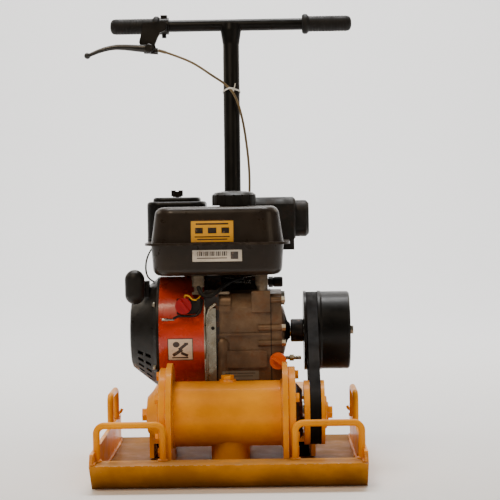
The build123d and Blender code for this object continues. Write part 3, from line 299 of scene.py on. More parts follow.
def make_materials():
    """Every material of the machine, by a short name."""
    return {
        "yellow": painted(
            "yellow_paint", YELLOW, YELLOW_DEEP, UNDERCOAT,
            rough=0.36, dust=0.12, dust_colour=SOIL, wear=0.8, coat=0.07, specular=0.09,
        ),
        "floor": painted(
            "yellow_paint_dusty", DUSTY_YELLOW, DUSTY_YELLOW_DEEP, UNDERCOAT,
            rough=0.5, dust=0.8, dust_colour=DRY_SOIL, wear=0.8, coat=0.05, specular=0.1, ground=0.7,
        ),
        "weld": painted(
            "weld_paint", YELLOW, (0.42, 0.12, 0.006), (0.30, 0.16, 0.08),
            rough=0.42, dust=0.3, dust_colour=SOIL, wear=0.9, coat=0.1,
        ),
        "red": painted(
            "red_paint", (0.64, 0.040, 0.004), (0.38, 0.014, 0.002), (0.5, 0.4, 0.35),
            rough=0.27, dust=0.15, dust_colour=SOIL, wear=0.5, coat=0.5,
        ),
        "tank": painted(
            "tank_paint", (0.026, 0.0175, 0.0115), (0.013, 0.009, 0.0065), (0.16, 0.13, 0.11),
            rough=0.33, dust=0.22, dust_colour=(0.14, 0.10, 0.06), wear=0.35, coat=0.15, specular=0.22,
        ),
        "black": painted(
            "black_paint", (0.0065, 0.006, 0.0055), (0.0035, 0.0035, 0.0035), (0.09, 0.08, 0.07),
            rough=0.34, dust=0.10, dust_colour=(0.09, 0.07, 0.05), wear=0.45, coat=0.05, specular=0.16,
        ),
        "lever": painted(
            "lever_finish", (0.014, 0.013, 0.012), (0.008, 0.008, 0.008), (0.12, 0.11, 0.10),
            rough=0.30, dust=0.1, dust_colour=SOIL, wear=0.6, coat=0.3,
        ),
        "heat_black": cast_metal(
            "heat_paint", (0.009, 0.008, 0.007), (0.0045, 0.0045, 0.0045), (0.022, 0.013, 0.008), 0.58
        ),
        "alloy": cast_metal("cast_alloy", ALLOY, ALLOY_DARK, ALLOY_OIL, 0.46),
        "cover_alloy": cast_metal("cover_alloy", ALLOY, ALLOY_DARK, ALLOY_OIL, 0.46, GASKET_X),
        # Metal tone, lightened as painted light to offset the tank's shadow over the posts.
        "post": cast_metal(
            "post_metal", (0.27, 0.215, 0.150), (0.130, 0.098, 0.066), (0.16, 0.10, 0.05), 0.5
        ),
        "zinc": bare_metal(
            "zinc_plate", (0.46, 0.44, 0.37), (0.24, 0.22, 0.17),
            rough=0.30, stain=(0.36, 0.22, 0.08), stain_amount=0.35,
        ),
        "steel": bare_metal(
            "bright_steel", (0.55, 0.54, 0.52), (0.34, 0.33, 0.31),
            rough=0.26, stain=(0.2, 0.12, 0.07), stain_amount=0.25,
        ),
        # Dark iron with rust stains, also used as painted shade on shadowed covers and on the
        # slit-filling sheets.
        "dark_iron_and_shade": bare_metal(
            "dark_iron", (0.035, 0.030, 0.028), (0.014, 0.012, 0.012),
            rough=0.5, stain=(0.22, 0.08, 0.025), stain_amount=0.7, metallic=0.5,
        ),
        "plastic": moulded("black_plastic", (0.0095, 0.0085, 0.0075), (0.020, 0.016, 0.013), 0.36),
        "rubber": moulded(
            "black_rubber", (0.0075, 0.007, 0.007), (0.016, 0.015, 0.014),
            rough=0.55, grain=900, grain_depth=0.3, dust=0.06,
        ),
        "belt": moulded(
            "belt_rubber", (0.0065, 0.0065, 0.007), (0.014, 0.013, 0.013),
            rough=0.6, grain=1600, grain_depth=0.4, dust=0.05, specular=0.07,
        ),
        "red_plastic": moulded(
            "red_plastic", (0.36, 0.006, 0.012), (0.20, 0.004, 0.008),
            rough=0.38, grain_depth=0.1, dust=0.1, coat=0.2,
        ),
        "orange": moulded(
            "orange_plastic", (0.86, 0.145, 0.012), (0.60, 0.08, 0.010),
            rough=0.42, grain_depth=0.1, dust=0.1, coat=0.1,
        ),
        "white": moulded(
            "white_nylon", (0.78, 0.77, 0.72), (0.60, 0.58, 0.52), rough=0.4, grain_depth=0.08
        ),
        "cable": moulded(
            "cable_jacket", (0.185, 0.135, 0.070), (0.110, 0.080, 0.045),
            rough=0.45, grain=1200, grain_depth=0.15, dust=0.1,
        ),
        "rope": moulded(
            "starter_rope_fibre", (0.55, 0.53, 0.48), (0.35, 0.33, 0.29),
            rough=0.8, grain=2200, grain_depth=0.5,
        ),
        "wire_yellow": moulded(
            "wire_yellow", (0.80, 0.42, 0.02), (0.55, 0.28, 0.02),
            rough=0.35, grain=900, grain_depth=0.05,
        ),
        "foam": moulded(
            "filter_foam", (0.05, 0.05, 0.045), (0.10, 0.10, 0.09),
            rough=0.9, grain=500, grain_depth=1.0,
        ),
    }


MATERIALS = make_materials()

NODE_LOOKS = {
    "yellow": [
        "side_walls", "lifting_handles", "exciter_tube", "exciter_supports", "exciter_flanges",
        "exciter_fasteners", "bearing_cover_left", "exciter_pulley",
        "exciter_pulley_bolt", "engine_bed", "handle_bracket",
    ],
    "floor": ["base_plate"],
    "red": ["blower_housing"],
    "tank": ["fuel_tank"],
    "black": [
        "handle_frame", "clutch_drum", "rocker_cover", "air_cleaner_cover", "air_cleaner_base",
    ],
    "heat_black": ["muffler", "muffler_guards"],
    "cover_alloy": ["side_cover"],
    "alloy": ["crankcase", "cylinder_head", "carburettor", "flywheel"],
    "post": ["tank_posts"],
    "zinc": ["side_shroud", "engine_fasteners", "throttle_arm", "clutch_bolt"],
    "steel": [
        "exciter_bearings", "eccentric_shaft", "clutch_bearing", "clutch_hub", "clutch_springs",
        "crankshaft",
    ],
    # bearing_cover_right and clutch_collar take dark iron on a guessed bare-iron finish. Their darkness
    # is painted shade for the shadow they sit in.
    "dark_iron_and_shade": [
        "control_bracket", "clutch_shoe_front", "clutch_shoe_rear", "clutch_collar",
        "bearing_cover_right",
    ],
    "plastic": [
        "recoil_cover", "starter_reel", "starter_grip", "switch_base", "fuel_cap", "wing_nut",
        "lever_clamp", "throttle_lever",
    ],
    "rubber": ["rubber_mounts", "shaft_seals", "handle_grips", "spark_plug"],
    "belt": ["drive_belt"],
    "red_plastic": ["stop_switch"],
    "orange": ["oil_filler_cap"],
    "white": ["cable_tie"],
    "cable": ["throttle_cable"],
    "foam": ["air_filter_element"],
}


def dress_cad():
    """Give every CAD node its material."""
    for look, names in NODE_LOOKS.items():
        for name in names:
            mesh = NODES[name].data
            mesh.materials.clear()
            mesh.materials.append(MATERIALS[look])


dress_cad()

# ------------------------------------------------------------------ shapes


SHARP_ANGLE = 40
RAY_START_Y = -600.0
STICKER_CELLS = 28
STICKER_LIFT = 0.28
FRAME_LINE = 1.3
LABEL_DIRT = (0.30, 0.20, 0.12)


def new_object(name, verts, faces, look, body, smooth=True):
    """Mesh object from plain lists, dressed, and riding a body unless that is None."""
    mesh = bpy.data.meshes.new(name)
    mesh.from_pydata([tuple(v) for v in verts], [], faces)
    mesh.validate()
    tidy = bmesh.new()
    tidy.from_mesh(mesh)
    bmesh.ops.recalc_face_normals(tidy, faces=tidy.faces)
    tidy.to_mesh(mesh)
    tidy.free()
    mesh.materials.append(MATERIALS[look] if isinstance(look, str) else look)
    made = bpy.data.objects.new(name, mesh)
    bpy.context.scene.collection.objects.link(made)
    if smooth:
        mesh.shade_smooth()
        mesh.set_sharp_from_angle(angle=math.radians(SHARP_ANGLE))
    if body:
        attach(made, body)
    return made


def spline(points, step):
    """Catmull-Rom curve through points, sampled about every step."""
    pts = [Vector(p) for p in points]
    full = [2 * pts[0] - pts[1]] + pts + [2 * pts[-1] - pts[-2]]
    out = []
    for i in range(1, len(full) - 2):
        a, b, c, d = full[i - 1 : i + 3]
        count = max(2, int((c - b).length / step))
        for k in range(count):
            t = k / count
            curve = (2 * b) + (c - a) * t + (2 * a - 5 * b + 4 * c - d) * t * t
            curve = curve + (3 * b - a - 3 * c + d) * t ** 3
            out.append(0.5 * curve)
    out.append(pts[-1])
    return out


def sweep(path, size, sides=16, closed=False, up=(0, 0, 1)):
    """Verts and faces of an oval section (half widths from size(i)) carried along a path."""
    path = [Vector(p) for p in path]
    count = len(path)
    verts, faces = [], []
    side = None
    for i, point in enumerate(path):
        if closed:
            along = path[(i + 1) % count] - path[i - 1]
        else:
            along = path[min(i + 1, count - 1)] - path[max(i - 1, 0)]
        along.normalize()
        if side is None:
            side = along.cross(Vector(up))
            if side.length < 0.05:
                side = along.cross(Vector((0, 1, 0)))
        side = (side - along * side.dot(along)).normalized()
        rise = side.cross(along).normalized()
        wide, tall = size(i)
        for k in range(sides):
            a = 2 * math.pi * k / sides
            verts.append(point + side * (wide * math.cos(a)) + rise * (tall * math.sin(a)))
    rings = count if closed else count - 1
    for i in range(rings):
        j = (i + 1) % count
        for k in range(sides):
            m = (k + 1) % sides
            faces.append((i * sides + k, i * sides + m, j * sides + m, j * sides + k))
    if not closed:
        faces.append(tuple(range(sides)))
        faces.append(tuple((count - 1) * sides + k for k in range(sides)))
    return verts, faces


def tube(name, points, radius, look, step, sides):
    """Round wire or hose on the root body, through points given in millimetres."""
    path = spline([Vector(p) * MM for p in points], step * MM)
    verts, faces = sweep(path, lambda i: (radius * MM, radius * MM), sides)
    return new_object(name, verts, faces, look, "root")


def weld_mesh(path, radius, closed=False):
    """Rippled bead along a path of closely spaced points, in metres."""
    seed = Vector((RNG.random() * 9, RNG.random() * 9, RNG.random() * 9))

    def size(i):
        ripple = 0.10 * math.sin(i * 1.55) + 0.22 * noise.noise(path[i] * 130 + seed)
        r = radius * (1 + ripple)
        return r, r * (0.92 + 0.15 * noise.noise(path[i] * 90 - seed))

    wander = [p + Vector(noise.noise_vector(p * 70 + seed)) * radius * 0.22 for p in path]
    return sweep(wander, size, 10, closed)


def straight(a, b):
    """Points about 1 mm apart from a to b, in millimetres, returned in metres."""
    a, b = Vector(a), Vector(b)
    count = max(2, int((b - a).length))
    return [(a + (b - a) * (i / count)) * MM for i in range(count + 1)]


def ring(centre, radius, axis="z", step=1.0):
    """Points of a circle about the X or Z axis, in millimetres, returned in metres."""
    count = max(12, int(2 * math.pi * radius / step))
    out = []
    for i in range(count):
        a = math.radians(360 * i / count)
        c, s = radius * math.cos(a), radius * math.sin(a)
        shift = {"z": (c, s, 0), "x": (0, c, s)}[axis]
        out.append((Vector(centre) + Vector(shift)) * MM)
    return out


def joined(name, parts, look, body):
    """One object from several (verts, faces) meshes."""
    verts, faces = [], []
    for more_verts, more_faces in parts:
        base = len(verts)
        verts.extend(more_verts)
        faces.extend(tuple(base + k for k in face) for face in more_faces)
    return new_object(name, verts, faces, look, body)


def lathe(profile, centre, axis, sides):
    """Verts and faces of a profile [(along, radius)] turned about an axis, in millimetres."""
    verts, faces = [], []
    for along, radius in profile:
        for k in range(sides):
            a = 2 * math.pi * k / sides
            c, s = radius * math.cos(a), radius * math.sin(a)
            spot = {"x": (along, c, s), "y": (c, along, s), "z": (c, s, along)}[axis]
            verts.append((Vector(centre) + Vector(spot)) * MM)
    rows = len(profile)
    for i in range(rows - 1):
        for k in range(sides):
            m = (k + 1) % sides
            faces.append((i * sides + k, i * sides + m, (i + 1) * sides + m, (i + 1) * sides + k))
    faces.append(tuple(range(sides)))
    faces.append(tuple((rows - 1) * sides + k for k in range(sides)))
    return verts, faces


def hex_head(centre, across, height):
    """Hexagon bolt head with a washer face, standing out along -X from its centre point."""
    r = across / math.sqrt(3)
    profile = [(0, r), (-height * 0.82, r), (-height, r * 0.86)]
    verts, faces = lathe(profile, (0, 0, 0), "x", 6)
    spin = Matrix.Rotation(math.radians(RNG.random() * 60), 3, "X")
    w = across * 0.68
    washer = [(0.1, w), (-0.9, w), (-1.2, w - 0.4), (-1.2, w * 0.3)]
    return [
        ([spin @ v + Vector(centre) * MM for v in verts], faces),
        lathe(washer, centre, "x", 32),
    ]


def front_of(node, x, z):
    """Spot where a ray along +Y first meets a CAD node, in millimetres, and its normal."""
    target = NODES[node]
    inverse = target.matrix_world.inverted()
    origin = inverse @ (Vector((x, RAY_START_Y, z)) * MM)
    along = (inverse.to_3x3() @ Vector((0, 1, 0))).normalized()
    found, spot, normal, _ = target.ray_cast(origin, along)
    if not found:
        raise ValueError(f"nothing of {node} behind {x}, {z}")
    return (target.matrix_world @ spot) / MM, target.matrix_world.to_3x3() @ normal


def sticker(name, node, x0, x1, z0, z1, look, corner, lift=STICKER_LIFT):
    """Thin label laid on a CAD node's front, with rounded corners."""
    cells = STICKER_CELLS
    rows = []
    for j in range(cells + 1):
        row = []
        for i in range(cells + 1):
            x = x0 + (x1 - x0) * i / cells
            z = z0 + (z1 - z0) * j / cells
            dx = max(0.0, max(x0 + corner - x, x - x1 + corner))
            dz = max(0.0, max(z0 + corner - z, z - z1 + corner))
            if dx > 0 and dz > 0:
                reach = math.hypot(dx, dz)
                if reach > corner:
                    x -= math.copysign(dx * (1 - corner / reach), x - (x0 + x1) / 2)
                    z -= math.copysign(dz * (1 - corner / reach), z - (z0 + z1) / 2)
            spot, normal = front_of(node, x, z)
            row.append((spot + normal * lift) * MM)
        rows.append(row)
    verts = [v for row in rows for v in row]
    wide = cells + 1
    faces = [
        (j * wide + i, j * wide + i + 1, (j + 1) * wide + i + 1, (j + 1) * wide + i)
        for j in range(cells)
        for i in range(cells)
    ]
    loop = list(range(wide))
    loop += [j * wide + cells for j in range(1, wide)]
    loop += [cells * wide + i for i in range(cells - 1, -1, -1)]
    loop += [j * wide for j in range(cells - 1, 0, -1)]
    base = len(verts)
    for k in loop:
        verts.append(verts[k] + Vector((0, (lift + 0.12) * MM, 0)))
    size = len(loop)
    for k in range(size):
        m = (k + 1) % size
        faces.append((loop[k], loop[m], base + m, base + k))
    return new_object(name, verts, faces, look, "root")


def printed(name, paper, ink, shapes):
    """Label stock with plain printed shapes.

    A shape is (kind, x, z, half width, half height, turn in degrees), in millimetres.
    """
    s = Shade(name)
    split = s.node("ShaderNodeSeparateXYZ", Vector=s.place)
    across, up = split.outputs["X"], split.outputs["Z"]
    total = None
    for kind, x, z, wide, tall, turn in shapes:
        dx, dz = s.math("SUBTRACT", across, x * MM), s.math("SUBTRACT", up, z * MM)
        if turn:
            c, n = math.cos(math.radians(turn)), math.sin(math.radians(turn))
            u = s.math("ADD", s.math("MULTIPLY", dx, c), s.math("MULTIPLY", dz, n))
            v = s.math("SUBTRACT", s.math("MULTIPLY", dz, c), s.math("MULTIPLY", dx, n))
        else:
            u, v = dx, dz
        u = s.math("DIVIDE", s.math("ABSOLUTE", u, 0), wide * MM)
        v = s.math("DIVIDE", s.math("ABSOLUTE", v, 0), tall * MM)
        if kind == "disc":
            squares = s.math("ADD", s.math("MULTIPLY", u, u), s.math("MULTIPLY", v, v))
            reach = s.math("SQRT", squares, 0)
        else:
            reach = s.math("MAXIMUM", u, v)
        inside = s.math("LESS_THAN", reach, 1.0)
        if kind == "frame":
            inner_u = s.math("MULTIPLY", u, wide / (wide - FRAME_LINE))
            inner_v = s.math("MULTIPLY", v, tall / (tall - FRAME_LINE))
            hollow = s.math("LESS_THAN", s.math("MAXIMUM", inner_u, inner_v), 1.0)
            inside = s.math("SUBTRACT", inside, hollow)
        total = inside if total is None else s.math("MAXIMUM", total, inside)
    tone = s.mix(s.ramp(s.noise(30, 4), 0.35, 0.7), paper, tuple(0.82 * c for c in paper))
    tone = s.mix(total, tone, ink)
    smudges = s.math("MULTIPLY", s.ramp(s.noise(120, 6, 0.7), 0.56, 0.68), 0.45)
    tone = s.mix(smudges, tone, LABEL_DIRT)
    s.bump(s.noise(300, 2), 0.05, 0.2 * MM)
    return s.finish(tone, s.ramp(s.noise(80, 4), 0.3, 0.7, 0.28, 0.46), 0.0, 0.2, 0.2)

# ------------------------------------------------------------------ labels


def make_labels():
    """Plain labels in the places where the real machine carries some."""
    housing = printed(
        "housing_label_print", (0.78, 0.62, 0.46), (0.03, 0.018, 0.014),
        [
            ("frame", -79.5, 198, 20.5, 18, 0), ("disc", -86, 206, 5.5, 4.6, 0),
            ("bar", -76, 202, 7.5, 2.4, 38), ("bar", -84, 193, 9.0, 2.6, 32),
            ("bar", -73, 190, 6.0, 2.2, -24), ("bar", -70, 207, 3.2, 2.0, 0),
            ("bar", -80, 184.5, 13, 1.1, 0),
        ],
    )
    sticker("label_housing", "blower_housing", -100, -59, 180, 216, housing, 1.2)
    upper = printed(
        "tank_label_print", (0.86, 0.42, 0.02), (0.02, 0.014, 0.010),
        [
            ("frame", -25, 387, 35, 18, 0), ("bar", -25, 399, 26, 1.3, 0),
            ("bar", -46, 388.5, 6.2, 4.6, 0), ("bar", -25, 388.5, 6.8, 4.6, 0),
            ("bar", -4, 388.5, 6.2, 4.6, 0), ("bar", -25, 378.5, 28, 0.9, 0),
            ("bar", -25, 374.5, 24, 0.9, 0),
        ],
    )
    sticker("label_tank_upper", "fuel_tank", -60, 10, 369.5, 405, upper, 2.5)
    bars = [("bar", -49 + 3.1 * k, 351.5, 0.55 + 0.35 * ((k * 7) % 3), 3.6, 0) for k in range(16)]
    lower = printed(
        "tank_label_lower_print", (0.70, 0.64, 0.54), (0.05, 0.04, 0.035),
        bars + [("bar", -26, 344.5, 24, 0.8, 0), ("bar", 10, 348.5, 6.0, 6.0, 0)],
    )
    sticker("label_tank_lower", "fuel_tank", -57, 22, 339, 357.5, lower, 1.0)
    plate = printed(
        "blank_plate_metal", (0.20, 0.18, 0.145), (0.06, 0.05, 0.04),
        [("bar", 16, 157, 24, 0.7, 0), ("bar", 16, 152.5, 20, 0.6, 0)],
    )
    sticker("blank_plate", "crankcase", -13, 46, 146.5, 161, plate, 1.0, lift=0.5)


make_labels()

# ------------------------------------------------------------------ welds

EXCITER = (-3.0, -110.0, 101.0)
EXCITER_R = 51.6
SADDLE_R = 30.6
SUPPORT_FACES = (-97.5, -89.0, 83.0, 91.5)
FLOOR_TOP = 9.6
LIP_START = 198
LIP_END = (230, 14.3)
WALL_INSIDE = 203.6
WALL_MIDDLE = 206.0
WALL_TOP = 57.2
STRIP_TOP = 41.5
FRONT_HANDLE_FEET = (101.0, 202.5)
REAR_HANDLE_FEET = (70.0, 171.5)
HOOK_ROD_Y = 193.5


def bead(start, end, radius):
    """Straight weld bead."""
    return weld_mesh(straight(start, end), radius * MM)


def round_bead(centre, ring_radius, axis, radius, step=1.0):
    """Weld bead round a tube or a rod."""
    return weld_mesh(ring(centre, ring_radius, axis, step), radius * MM, True)


def make_welds():
    """Beads where the plate's pieces were welded together."""
    x, y, z = EXCITER
    beads = [bead((face, -186, 9.4), (face, -53, 9.4), 2.6) for face in SUPPORT_FACES]
    for inner in (SUPPORT_FACES[1] + 0.6, SUPPORT_FACES[2] - 0.6):
        beads.append(round_bead((inner, y, z), EXCITER_R, "x", 2.3))
    beads.append(round_bead((x, y, FLOOR_TOP), SADDLE_R, "z", 2.6))
    for side in (-1, 1):
        wall = side * WALL_INSIDE
        strip = side * 203.4
        beads.append(bead((wall, -LIP_START, FLOOR_TOP), (wall, LIP_START, FLOOR_TOP), 2.8))
        beads.append(bead((wall, LIP_START, FLOOR_TOP), (wall, *LIP_END), 2.8))
        beads.append(bead((strip, -236, 41.6), (strip, -190, 41.6), 2.8))
        beads.append(bead((side * 206.4, -237.6, 41.8), (side * 206.4, -228.5, 55.0), 2.4))
        for foot in FRONT_HANDLE_FEET:
            beads.append(round_bead((side * foot, -194, STRIP_TOP), 5.9, "z", 2.4, 0.8))
        for foot in REAR_HANDLE_FEET:
            beads.append(round_bead((side * WALL_MIDDLE, foot, WALL_TOP), 4.6, "z", 2.0, 0.8))
        beads.append(round_bead((side * WALL_MIDDLE, HOOK_ROD_Y, WALL_TOP), 3.4, "z", 1.8, 0.8))
    joined("weld_beads", beads, "weld", "root")


make_welds()

# ------------------------------------------------------------------ cables and cords

CABLE_ROUTE = (
    (-133.2, 341, 712.5), (-109, 338, 704.6), (-71, 335, 688.4), (-36, 332.5, 665.2), (-10.5, 331, 647),
    (7, 329, 625), (19, 327, 586), (27, 323, 534), (31, 318, 480), (29, 308, 430), (19, 284, 397),
    (2, 252, 377), (-13, 212, 366), (-20, 176, 360.5), (-22, 145, 357),
)


CABLE_R = 2.2
FERRULE_R = 2.9
FERRULE_LENGTH = 14
ROPE_START = (-145, 14, 298)
ROPE_END = (-145, -14, 298)
ROPE_R = 2.0
ROPE_STEPS = 56


def make_throttle_cable():
    """Outer cable with a thicker ferrule at both ends."""
    path = spline([Vector(p) * MM for p in CABLE_ROUTE], 2.0 * MM)
    run = [0.0]
    for a, b in zip(path, path[1:]):
        run.append(run[-1] + (b - a).length)
    ferrule = FERRULE_LENGTH * MM

    def size(i):
        r = FERRULE_R if run[i] < ferrule or run[i] > run[-1] - ferrule else CABLE_R
        return r * MM, r * MM

    verts, faces = sweep(path, size, 16)
    cable = new_object("throttle_cable_smooth", verts, faces, "cable", None)
    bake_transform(cable)
    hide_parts("throttle_cable")


make_throttle_cable()


def make_starter_rope():
    """Rope from the guide to the grip, stretched between them when the grip is pulled."""
    start, end = Vector(ROPE_START) * MM, Vector(ROPE_END) * MM
    path = [start.lerp(end, i / ROPE_STEPS) for i in range(ROPE_STEPS + 1)]
    verts, faces = sweep(path, lambda i: (ROPE_R * MM, ROPE_R * MM), 12)
    rope = new_object("starter_rope", verts, faces, "rope", None)
    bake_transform(rope)


make_starter_rope()


YELLOW_WIRE = (
    (-71, -63.5, 279), (-70, -66, 285), (-64, -67, 284), (-59, -66, 279), (-53, -62, 277.5),
    (-48, -55, 281), (-44, -42, 287),
)
BLACK_WIRE = (
    (-44, -50, 277), (-44.5, -57, 268), (-47, -64, 259), (-54, -67.5, 253), (-68, -68, 252),
    (-80, -67.5, 252.5), (-90, -66.5, 248),
)
WIRE_END = ((-108, 2.2), (-106, 2.6), (-98, 2.6), (-97, 2.0), (-90, 2.0), (-88, 1.2))


def make_wires():
    """Stop switch wires and the metal end of the black one."""
    tube("stop_wire_yellow", YELLOW_WIRE, 1.3, "wire_yellow", 1.0, 12)
    tube("stop_wire_black", BLACK_WIRE, 2.1, "plastic", 1.0, 12)
    barrel = lathe(WIRE_END, (0, -66, 246.6), "x", 20)
    joined("stop_wire_terminal", [barrel], "steel", "root")


make_wires()

# ------------------------------------------------------------------ screws and small fittings


CRANK_Y, CRANK_Z = 40, 218
COVER_BOLT_X = -121.8
COVER_BOLT_CIRCLE = 88.5
COVER_BOLT_ANGLES = (35, 145, 215, 325)


def make_screws():
    """Bolts round the rim of the starter cover."""
    heads = []
    for degrees in COVER_BOLT_ANGLES:
        a = math.radians(degrees)
        y = CRANK_Y + COVER_BOLT_CIRCLE * math.cos(a)
        z = CRANK_Z + COVER_BOLT_CIRCLE * math.sin(a)
        heads += hex_head((COVER_BOLT_X, y, z), 7.0, 3.8)
    joined("starter_cover_screws", heads, "zinc", "root")


make_screws()

# ------------------------------------------------------------------ handle fittings

BAR_Y, BAR_Z = 375.0, 760.0
GRIP_COLLAR = (
    (132.0, 11.2), (132.2, 15.6), (133.0, 16.6), (134.4, 18.0), (136.0, 18.6), (140.0, 18.6),
    (141.6, 18.0), (144.4, 14.9), (146.0, 14.3),
)
GRIP_TIP = (
    (218.0, 13.7), (220.2, 12.4), (222.0, 10.4), (223.2, 7.8), (223.9, 4.6), (223.9, 2.0),
)
GRIP_R = 14.4
RIB_START, RIB_END = 147.0, 215.5
RIB_PITCH = 5.75
RIB_FLAT = 0.72
RIB_GROOVE = 0.28
RIB_DEPTH = 0.45


def grip_profile(side):
    """Grip outline from its collar to the rounded end, with shallow grooves round it."""
    outline = list(GRIP_COLLAR)
    along = RIB_START
    while along < RIB_END:
        phase = ((along - RIB_START) % RIB_PITCH) / RIB_PITCH
        dip = 0.0
        if phase > RIB_FLAT:
            dip = RIB_DEPTH * max(0.0, math.sin(math.pi * (phase - RIB_FLAT) / RIB_GROOVE))
        outline.append((along, GRIP_R - dip))
        along += 0.5
    outline += GRIP_TIP
    return [(side * a, r) for a, r in outline]


def make_grips():
    """Ribbed rubber grips with an inner collar."""
    parts = [lathe(grip_profile(side), (0, BAR_Y, BAR_Z), "x", 64) for side in (-1, 1)]
    grips = joined("grips_ribbed", parts, "rubber", "handle")
    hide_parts("handle_grips")


make_grips()


LEVER_Y = 340.1
LEVER_CENTRES = (
    (-150, 716), (-166, 716.6), (-182, 718.0), (-197, 719.2), (-212, 719.4), (-228, 716.9),
    (-243, 712.5), (-254, 708.2), (-262, 704.9),
)
LEVER_BOSS = (
    (335.8, 4.2), (335.8, 7.9), (336.5, 8.6), (343.6, 8.6), (344.4, 7.9), (344.4, 4.2),
)
BALL_R = 6.0
BALL_POLE_R = 0.02


def make_lever():
    """Cast lever: round pivot boss, a flat blade that thins and curves down, and a ball tip."""
    path = spline([(x * MM, LEVER_Y * MM, z * MM) for x, z in LEVER_CENTRES], 1.0 * MM)
    length = len(path) - 1

    def size(i):
        t = i / length
        return (7.6 - 4.2 * t ** 0.8) * MM, (4.3 - 1.1 * t) * MM

    blade = sweep(path, size, 24, up=(0, 1, 0))
    boss = lathe(LEVER_BOSS, (-150, 0, 716), "y", 40)
    turns = [math.radians(a) for a in range(0, 181, 10)]
    arc = [(-BALL_R * math.cos(a), max(BALL_POLE_R, BALL_R * math.sin(a))) for a in turns]
    ball = lathe(arc, (-264, LEVER_Y, 704.5), "x", 28)
    parts = [blade, boss, ball]
    lever = joined("throttle_lever_smooth", parts, "lever", "throttle_lever")
    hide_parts("throttle_lever")


make_lever()


COLUMN_FOOT = (0, 250, 60)
COLUMN_LEAN = math.atan2(125.0, 700.0)
TIE_HEIGHT = 583.5
TIED_ROUNDS = ((0.0, 0.0, 15.9), (-2.8, -22.4, 3.1))


def hull_side(points):
    """Half of the outline stretched round sorted (x, y) points, without its last point."""
    out = []
    for x, y in points:
        while len(out) > 1:
            (ax, ay), (bx, by) = out[-2:]
            if (bx - ax) * (y - ay) > (by - ay) * (x - ax):
                break
            out.pop()
        out.append((x, y))
    return out[:-1]


def strap_loop():
    """Tight loop round the column and the cable, as (x, y) points about 1 mm apart."""
    turns = [math.radians(a) for a in range(0, 360, 3)]
    rims = [(x + r * math.cos(a), y + r * math.sin(a)) for x, y, r in TIED_ROUNDS for a in turns]
    rims.sort()
    loop = hull_side(rims) + hull_side(rims[::-1])
    even = []
    for i, (x, y) in enumerate(loop):
        nx, ny = loop[(i + 1) % len(loop)]
        count = max(1, int(math.hypot(nx - x, ny - y)))
        even += [(x + (nx - x) * k / count, y + (ny - y) * k / count) for k in range(count)]
    return even


def make_cable_tie():
    """Thin nylon strap round the column and the cable, with its lock and cut tail."""
    axis = Vector((0, math.sin(COLUMN_LEAN), math.cos(COLUMN_LEAN)))
    back = Vector((0, math.cos(COLUMN_LEAN), -math.sin(COLUMN_LEAN)))
    centre = Vector(COLUMN_FOOT) + axis * TIE_HEIGHT

    def spot(x, y, z):
        return (centre + Vector((x, 0, 0)) + back * y + axis * z) * MM

    def section(wide, tall):
        return lambda i: (wide * MM, tall * MM)

    path = [spot(x, y, 1.6 * math.cos(math.atan2(y, x) + math.pi / 2)) for x, y in strap_loop()]
    strap = sweep(path, section(0.75, 1.7), 12, True, up=axis)
    body = [spot(3.2, -19.5, -2.8), spot(3.4, -19.6, 0.4), spot(3.6, -19.7, 3.4)]
    lock = sweep(body, section(2.2, 2.0), 8, up=(1, 0, 0))
    end = [spot(3.6 + 0.5 * k, -20.0 - 0.5 * k, 0.6 + 0.16 * k * k) for k in range(9)]
    tail = sweep(end, section(0.5, 1.5), 8, up=axis)
    tie = joined("cable_tie_strap", [strap, lock, tail], "white", "handle")
    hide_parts("cable_tie")


make_cable_tie()

# ------------------------------------------------------------------ engine fittings and sheets of painted shade


SLEEVE_SPOTS = ((-50.0, 297.6), (52.5, 298.6))
SLEEVE_Y = -41.0
SLEEVE_TOP = 315.4
SLEEVE_R = 10.1
SLEEVE_END_R = 9.4
SLEEVE_PITCH = 2.2


def make_post_sleeves():
    """Ribbed sleeves on the two front tank posts."""
    parts = []
    for x, low in SLEEVE_SPOTS:
        outline = [(low, SLEEVE_END_R)]
        z = low
        while z < SLEEVE_TOP - 0.2:
            rib = math.sin(2 * math.pi * (z - low) / SLEEVE_PITCH)
            outline.append((z, SLEEVE_R + RIB_DEPTH * rib))
            z += 0.28
        outline.append((SLEEVE_TOP, SLEEVE_END_R))
        parts.append(lathe(outline, (x, SLEEVE_Y, 0), "z", 40))
    # The sleeves share the post metal, which is lightened as painted light.
    joined("post_sleeves", parts, "post", "root")


make_post_sleeves()


FUEL_HOSE = (
    (-52, -34, 308), (-49, -50, 296), (-44, -56, 287), (-34, -56, 283), (-21, -50, 288),
    (-8, -30, 298), (6, 0, 304), (20, 30, 306),
)
STOP_WIRE_LOOP = (
    (-118, 92, 365), (-126, 80, 362), (-134, 66, 353), (-140, 58, 338), (-141, 52, 322),
    (-137, 46, 310), (-128, 40, 303), (-117, 34, 300),
)
GOVERNOR_ROD = (
    (-40, 70, 303), (-30, 66, 307), (10, 60, 305), (44, 58, 309), (60, 62, 300),
)
SPRING_START = (4, 52, 299)
SPRING_R = 3.0
SPRING_TURNS = 15
SPRING_STEPS = 12
SPRING_ADVANCE = 0.16
SPRING_WIRE_R = 0.55


def make_hoses():
    """Fuel hose, stop wire and throttle linkage in the gap under the tank."""
    tube("fuel_hose", FUEL_HOSE, 3.4, "rubber", 1.5, 16)
    tube("stop_wire_loop", STOP_WIRE_LOOP, 1.5, "plastic", 1.5, 12)
    tube("governor_rod", GOVERNOR_ROD, 1.2, "steel", 1.5, 12)
    coil = []
    x, y, z = SPRING_START
    for i in range(SPRING_TURNS * SPRING_STEPS):
        a = 2 * math.pi * i / SPRING_STEPS
        swing, rise = SPRING_R * math.cos(a), SPRING_R * math.sin(a)
        coil.append(Vector((x + i * SPRING_ADVANCE, y + swing, z + rise)) * MM)
    verts, faces = sweep(coil, lambda i: (SPRING_WIRE_R * MM, SPRING_WIRE_R * MM), 8)
    joined("governor_spring", [(verts, faces)], "steel", "root")


make_hoses()


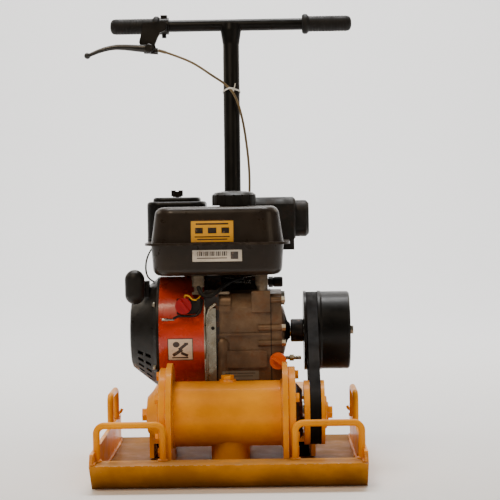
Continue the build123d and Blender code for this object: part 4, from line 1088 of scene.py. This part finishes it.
SHEET_THICK = 1.5
# Outlines of the two sheets of painted shade, as (x, z) points in millimetres.
SIDE_SHADE_SHEET = ((-40, 142), (-17, 142), (-17, 292), (-40, 292))
TOP_SHADE_SHEET = ((-46, 276), (-15, 276), (-15, 308), (-24, 313), (-46, 313))


def dark_sheet(name, outline, y):
    """Flat dark sheet of painted shade, seen from the front as an outline of (x, z) points."""
    verts = [Vector((x, at, z)) * MM for at in (y, y + SHEET_THICK) for x, z in outline]
    count = len(outline)
    faces = [tuple(range(count)), tuple(reversed(range(count, 2 * count)))]
    faces += [((k + 1) % count, k, count + k, count + (k + 1) % count) for k in range(count)]
    new_object(name, verts, faces, "dark_iron_and_shade", "root", False)


def make_shade_sheets():
    """Dark sheets of painted shade that close the slits beside the crankcase and over it."""
    dark_sheet("side_shade_sheet", SIDE_SHADE_SHEET, -48.5)
    dark_sheet("top_shade_sheet", TOP_SHADE_SHEET, 22.0)


make_shade_sheets()

# ------------------------------------------------------------------ stage and close


FLOOR_REACH = 9.0
CURVE_START = 3.0
CURVE_R = 2.0
BACKDROP_TOP = 8.0


def make_floor():
    """Plain pale floor that curves up into a backdrop well behind the machine."""
    turns = [math.radians(a) for a in range(6, 91, 6)]
    profile = [(-FLOOR_REACH, 0.0), (CURVE_START, 0.0)]
    profile += [
        (CURVE_START + CURVE_R * math.sin(a), CURVE_R - CURVE_R * math.cos(a)) for a in turns
    ]
    profile.append((CURVE_START + CURVE_R, BACKDROP_TOP))
    verts = [(x, y, z) for y, z in profile for x in (-FLOOR_REACH, FLOOR_REACH)]
    faces = [(2 * i, 2 * i + 1, 2 * i + 3, 2 * i + 2) for i in range(len(profile) - 1)]
    mesh = bpy.data.meshes.new("stage_floor")
    mesh.from_pydata(verts, [], faces)
    mesh.shade_smooth()
    floor = bpy.data.objects.new("stage_floor", mesh)
    bpy.context.scene.collection.objects.link(floor)
    s = Shade("stage_floor")
    tone = s.mix(s.noise(2, 2), (0.90, 0.90, 0.90), (0.93, 0.93, 0.93))
    s.finish(tone, s.ramp(s.noise(3, 2), 0.3, 0.7, 0.75, 0.85))
    mesh.materials.append(s.material)


make_floor()
make_lights()
make_camera()
